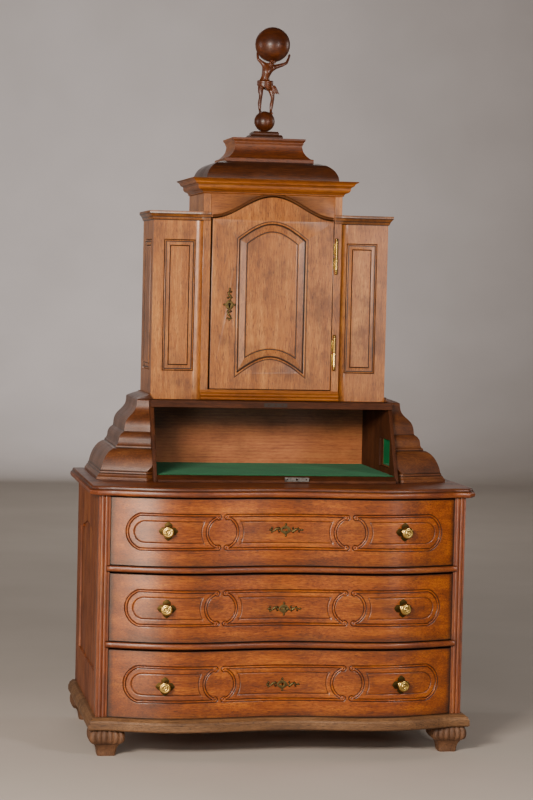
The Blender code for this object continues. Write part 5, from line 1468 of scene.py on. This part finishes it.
# BEAD_RING and PANEL_STEPS list (distance inwards, proud, dark share); the dark share is dark wax and painted
# shade in the grooves round the door panel.
BEAD_RING = ((-0.0112, -0.0012, 0.5), (-0.0102, 0.0002, 0.9), (-0.0082, 0.0003, 0.85), (-0.0066, 0.0020, 0.1),
             (-0.0046, 0.0027, 0.0), (-0.0028, 0.0021, 0.1), (-0.0014, 0.0004, 0.85), (0.0000, -0.0012, 0.95),
             (0.0000, -0.0030, 0.95), (-0.0100, -0.0030, 0.5))
PANEL_STEPS = ((0.0004, -0.0100, 0.0), (0.0004, -0.0012, 0.95), (0.0020, -0.0008, 0.9),
               (0.0046, -0.0004, 0.1), (0.0216, 0.0028, 0.0), (0.0230, 0.0014, 0.9), (0.0252, 0.0014, 0.9),
               (0.0266, 0.0036, 0.0), (0.0290, 0.0040, 0.0))


def add_door():
    """Frame with its bead ring, and the fielded panel in it."""
    low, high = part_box("door_frame")
    plate_low, plate_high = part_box("door_key_plate")
    half = high.x
    head = arch_line(half, CABINET + ARCH_SHOULDER - 0.002, ARCH_RISE)
    outer = [(max(x, 0.003 - half), z) for x, z in [(-half, low.z), (half, low.z)] + head]
    hole = [(x + DOOR_KEY_X, z + (plate_low.z + plate_high.z) / 2) for x, z in keyhole_outline()]
    body = plate("door_frame_boards", [outer, list(reversed(panel_loop(0.0))), list(reversed(hole))],
                 high.y - low.y, 0.0026)
    moved(body, 0, (low.y + high.y) / 2, 0)
    # The door's edges and the sides of its openings are painted dark between front and back: painted shadow
    # in the gaps.
    darken(body, lambda spot: 0.9 if low.y + FIT < spot.y < high.y - 0.004 else 0.0)
    ring = framed("door_bead", panel_loop, BEAD_RING, CENTRE_FRONT + 0.002, looped=True)
    settle(join("door_frame_beaded", [body, ring]), "door_frame", oak_z, 40)
    panel_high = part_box("door_panel")[1]
    panel_back = 0.38 - panel_high.y
    panel = framed("door_panel_fielded", panel_loop, PANEL_STEPS, panel_back + 0.010)
    settle(panel, "door_panel", oak_panel, 25)


add_door()
print("door done")

# %% Hinges
def add_hinge_half(node):
    """Half of a pin hinge: a smooth barrel with a collar and a ball finial, and its leaf."""
    low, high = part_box(node)
    upper = "door_half" in node
    height = high.z - low.z
    radius = 0.0045
    line = [(0.0, 1.0), (0.35, 0.997), (0.75, 0.985), (1.0, 0.960), (1.28, 0.925), (1.30, 0.905),
            (1.0, 0.880), (0.62, 0.860), (0.62, 0.845), (1.15, 0.825), (1.28, 0.800), (1.28, 0.775),
            (1.05, 0.755), (1.0, 0.740), (1.0, 0.015), (0.94, 0.0), (0.0, 0.0)]
    barrel = turned(node + "_barrel", [(r * radius, h * height) for r, h in line], 32)
    if not upper:
        barrel.data.transform(Matrix.Diagonal((1, 1, -1, 1)))
        barrel.data.flip_normals()
    base = low.z if upper else high.z
    axis_x, axis_depth = 0.2090, 0.3518
    moved(barrel, axis_x, y_at(axis_depth), base)
    leaf_low, leaf_high = (base + 0.08 * height, base + 0.70 * height) if upper else (
        base - 0.70 * height, base - 0.08 * height)
    leaf_x = 0.2005 if upper else 0.2022 - 0.0015
    strap = straight_board(node + "_strap", (leaf_x, axis_x), (y_at(0.3485), y_at(0.3474)),
                           (leaf_low, leaf_high), 0.0002)
    leaf = straight_board(node + "_leaf", (leaf_x, leaf_x + 0.0012), (y_at(0.3480), y_at(0.3314)),
                          (leaf_low, leaf_high), 0.0002)
    whole = join(node + "_turned", [barrel, strap, leaf])
    settle(whole, node, brass, 35)


for level in ("upper", "lower"):
    add_hinge_half(level + "_hinge_door_half")
    add_hinge_half(level + "_hinge_frame_half")
print("hinges done")

# %% [markdown]
# ## Cornice, dome and coved block
# Each of these is one section that rises on the front and both sides and stops flat at the back, like
# the real mouldings, which were planed in lengths and mitred.

# %% Top works
CENTRE_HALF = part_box("centre_carcase")[1].x


def level_ring(half, front, back, z):
    """A level rectangle from the left front corner round to the left rear one; depths from the wall."""
    return [(-half, y_at(front), z), (half, y_at(front), z), (half, y_at(back), z), (-half, y_at(back), z)]


def three_sided(name, line, half, front, back):
    """A moulded block of (reach, level, dark wax and painted shade) on the front and sides, flat at the back.
    """
    rings = [level_ring(half + reach, front + reach, back, level) for reach, level, _ in line]
    return loft(name, rings, [dark for _, _, dark in line])


low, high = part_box("main_cornice")
reach, tall = 0.0440, high.z - low.z
CORNICE = ((0.0, 0.0), (0.10, 0.03), (0.10, 0.12), (0.20, 0.20), (0.40, 0.29), (0.48, 0.38), (0.50, 0.44),
           (0.50, 0.56), (0.56, 0.62), (0.66, 0.66), (0.72, 0.70), (0.74, 0.76), (0.80, 0.83), (0.90, 0.90),
           (1.0, 0.935), (1.0, 1.0))
line = section([(share * reach, low.z + level * tall) for share, level in CORNICE], ease=0.0006, outward=True)
cornice = three_sided("main_cornice_moulded", line, CENTRE_HALF, CENTRE_FRONT, 0.008)
settle(cornice, "main_cornice", [oak_x, oak_y], 28)
by_side(cornice)

low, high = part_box("dome")
rings, rows, dome_back = [], 24, 0.012
for step in range(rows + 1):
    turn = math.pi / 2 * step / rows
    share = 1 - math.cos(turn)
    z = low.z + (high.z - low.z) * math.sin(turn)
    rings.append(level_ring(0.216 - 0.070 * share, 0.335 - 0.073 * share, dome_back, z))
# The dome takes the dark palette: painted shade of its upturned face.
settle(loft("dome_domed", rings), "dome", dark_and_shade_x, 30)


def add_cove_block():
    """The coved block and the two dark steps that carry the figure."""
    foot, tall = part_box("cove_block")[0].z, 0.0787
    shape = ((0.0, 0.0), (0.0, 0.010), (0.0012, 0.0120), (0.0065, 0.0125), (0.0150, 0.0180), (0.0240, 0.0275),
             (0.0300, 0.0375), (0.0330, 0.0490), (0.0333, 0.0560), (0.0315, 0.0605), (0.0300, 0.0625),
             (0.0300, 0.0655), (0.0275, 0.0690), (0.0255, 0.0715), (0.0240, 0.0725), (0.0240, tall))
    line = section(shape, ease=0.0006)
    half, deep = 0.1442, 0.1246
    middle = y_at(0.137)

    def block_ring(x, y, z):
        """A level rectangle about the block's middle, counted round from the left front corner."""
        return [(sx * x, middle + sy * y, z) for sx, sy in ((-1, -1), (1, -1), (1, 1), (-1, 1))]

    rings = [block_ring(half - inset, deep - inset * deep / half, foot + level) for inset, level, _ in line]
    block = loft("cove_block_moulded", rings, [dark for _, _, dark in line])
    steps = []
    for half_x, half_y, base, top in ((0.054, 0.050, tall, tall + 0.0145),
                                      (0.043, 0.039, tall + 0.0145, tall + 0.0257)):
        rise = top - base
        edge = section([(0.0, 0.0), (0.0, 0.55 * rise), (0.0022, 0.80 * rise), (0.0040, rise)], ease=0.0005)
        steps.append(loft("step", [block_ring(half_x - inset, half_y - inset, foot + base + level)
                                   for inset, level, _ in edge]))
    whole = join("cove_block_moulded", [block] + steps)
    # The cove's face takes the darker oak copy: painted shade of the upturned hollow.
    settle(whole, "cove_block", [oak_cove_shade, oak_y, dark_and_shade_x], 28)
    for face in whole.data.polygons:
        side = abs(face.normal.x) > abs(face.normal.y) + 0.05
        face.material_index = 2 if face.center.z > foot + tall + 0.0005 else 1 if side else 0


add_cove_block()
print("top works done")

# %% [markdown]
# ## Figure and globe
# The finial is a small carved figure that stands on a ball and carries a globe on its shoulders. Its
# limbs are drawn as a stick frame with a thickness at every joint, skinned, and then fused with the ball
# into one carved surface. The globe is turned, so it is a plain sphere with fine rings in its wood.

# %% Figure
FIGURE_JOINTS = {
    "left_toe": ((-0.070, -0.085, 0.112), 0.014), "left_foot": ((-0.067, -0.040, 0.118), 0.019),
    "left_ankle": ((-0.066, 0.004, 0.146), 0.017), "left_calf": ((-0.068, 0.012, 0.235), 0.029),
    "left_shin": ((-0.064, -0.008, 0.290), 0.024), "left_knee": ((-0.060, -0.024, 0.336), 0.027),
    "left_thigh": ((-0.066, -0.010, 0.420), 0.043), "left_hip": ((-0.048, 0.010, 0.485), 0.050),
    "right_toe": ((0.088, -0.085, 0.102), 0.014), "right_foot": ((0.082, -0.040, 0.108), 0.019),
    "right_ankle": ((0.080, 0.004, 0.136), 0.017), "right_calf": ((0.090, 0.012, 0.220), 0.029),
    "right_shin": ((0.095, -0.008, 0.268), 0.024), "right_knee": ((0.098, -0.024, 0.310), 0.027),
    "right_thigh": ((0.082, -0.010, 0.400), 0.043), "right_hip": ((0.048, 0.010, 0.465), 0.050),
    "pelvis": ((0.000, 0.010, 0.500), 0.062), "waist": ((-0.006, 0.002, 0.570), 0.052),
    "ribs": ((0.006, -0.010, 0.620), 0.064), "chest": ((0.024, -0.014, 0.680), 0.072),
    "neck": ((0.062, -0.040, 0.735), 0.032), "head": ((0.078, -0.080, 0.748), 0.040),
    "left_shoulder": ((-0.024, -0.010, 0.738), 0.034), "left_arm": ((-0.068, -0.014, 0.772), 0.026),
    "left_elbow": ((-0.108, -0.016, 0.806), 0.021), "left_wrist": ((-0.112, -0.002, 0.865), 0.016),
    "left_hand": ((-0.110, 0.010, 0.900), 0.018),
    "right_shoulder": ((0.128, -0.010, 0.714), 0.034), "right_arm": ((0.205, -0.014, 0.738), 0.027),
    "right_elbow": ((0.272, -0.016, 0.766), 0.021), "right_wrist": ((0.302, -0.002, 0.838), 0.016),
    "right_hand": ((0.316, 0.010, 0.888), 0.018)}
LEG = ("toe", "foot", "ankle", "calf", "shin", "knee", "thigh", "hip")
ARM = ("shoulder", "arm", "elbow", "wrist", "hand")
FIGURE_CHAINS = [[side + "_" + joint for joint in LEG] + ["pelvis"] for side in SIDES]
FIGURE_CHAINS += [["pelvis", "waist", "ribs", "chest", "neck", "head"]]
FIGURE_CHAINS += [["chest"] + [side + "_" + joint for joint in ARM] for side in SIDES]


def skinned(name, joints, chains, size, place):
    """A stick frame skinned to a soft body."""
    names = list(joints)
    points = [Vector(joints[key][0]) * size for key in names]
    edges = [(names.index(a), names.index(b)) for chain in chains for a, b in zip(chain, chain[1:])]
    piece = new_piece(name, points, edges, [])
    alone(piece)
    skin = piece.modifiers.new("skin", "SKIN")
    for key, entry in zip(names, piece.data.skin_vertices[0].data):
        radius = joints[key][1] * size
        entry.radius = (radius, radius)
        entry.use_root = key == "pelvis"
    bpy.ops.object.modifier_apply(modifier=skin.name)
    apply_modifier(piece, "SUBSURF", levels=2, render_levels=2)
    return moved(piece, *place)


def loincloth(size, place):
    """A twisted cloth round the hips, with its folded end hanging at the right thigh."""
    pieces = []
    for turn in range(5):
        points = []
        for step in range(33):
            around = 2 * math.pi * step / 32
            sag = 0.006 * math.sin(around + turn)
            points.append(Vector((0.092 * math.cos(around), 0.010 + 0.072 * math.sin(around),
                                  0.520 - 0.020 * turn - 0.030 * math.cos(around) * (turn / 4) + sag)) * size)
        pieces.append(drawn("fold", [points], dimensions="3D", bevel_depth=0.015 * size))
    for shift in (-0.016, 0.0, 0.016):
        points = [(0.098 + shift, 0.47), (0.118 + shift, 0.43), (0.130 + shift * 1.4, 0.39),
                  (0.150 + shift * 1.8, 0.355)]
        tail = bar("tail", [(x * size, z * size) for x, z in points], 0.014 * size)
        pieces.append(moved(tail, 0, -0.045 * size, 0))
    return moved(join("loincloth", pieces), *place)


def add_figure():
    """Body, cloth and ball fused into one carving, with a seat for the globe."""
    globe_low, globe_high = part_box("globe")
    globe_middle = (globe_low + globe_high) / 2
    place = Vector((0.0, globe_middle.y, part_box("figure")[0].z + 0.034))
    size = globe_middle.z - place.z
    body = skinned("figure_body", FIGURE_JOINTS, FIGURE_CHAINS, size, place)
    parts = [body, loincloth(size, place), moved(sphere("foot_ball", 0.0338, 48, 24), *place)]
    for row in range(3):
        lift, wide = 0.012 + 0.014 * row, 0.034 - 0.008 * row
        for lump in range(6):
            around = math.radians(-60 + 60 * lump)
            curl = bud("curl", 0, 0, 0.0135 * size, 1.0)
            spot = Vector((0.078 + wide * math.sin(around), -0.070 + wide * math.cos(around) * 0.8,
                           0.752 + lift))
            parts.append(moved(curl, *(place + spot * size)))
    whole = join("figure_carved", parts)
    apply_modifier(whole, "REMESH", mode="VOXEL", voxel_size=0.0011)
    apply_modifier(whole, "SMOOTH", factor=0.5, iterations=3)
    radius = (globe_high.z - globe_low.z) / 2 + FIT
    for vertex in whole.data.vertices:
        away = vertex.co - globe_middle
        if away.length < radius:
            vertex.co = globe_middle + away.normalized() * radius
    settle(whole, "figure", dark_carving, 60)


def turned_dark(name, along):
    """Dark turned wood: a hard polish, warm where the light passes the film of wax."""
    return wood(name, "#200C04", "#4A210A", "#783E18", along, ring_mm=5, roughness=0.36, coat=0.15, pore=0.3,
                gloss=0.3)


dark_carving = turned_dark("dark_polished_carving", "Z")
add_figure()

low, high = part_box("globe")
globe = moved(sphere("globe_turned", (high.z - low.z) / 2, 72, 36), *((low + high) / 2))
settle(globe, "globe", turned_dark("dark_turned_globe", "X"), 60)
print("figure done")
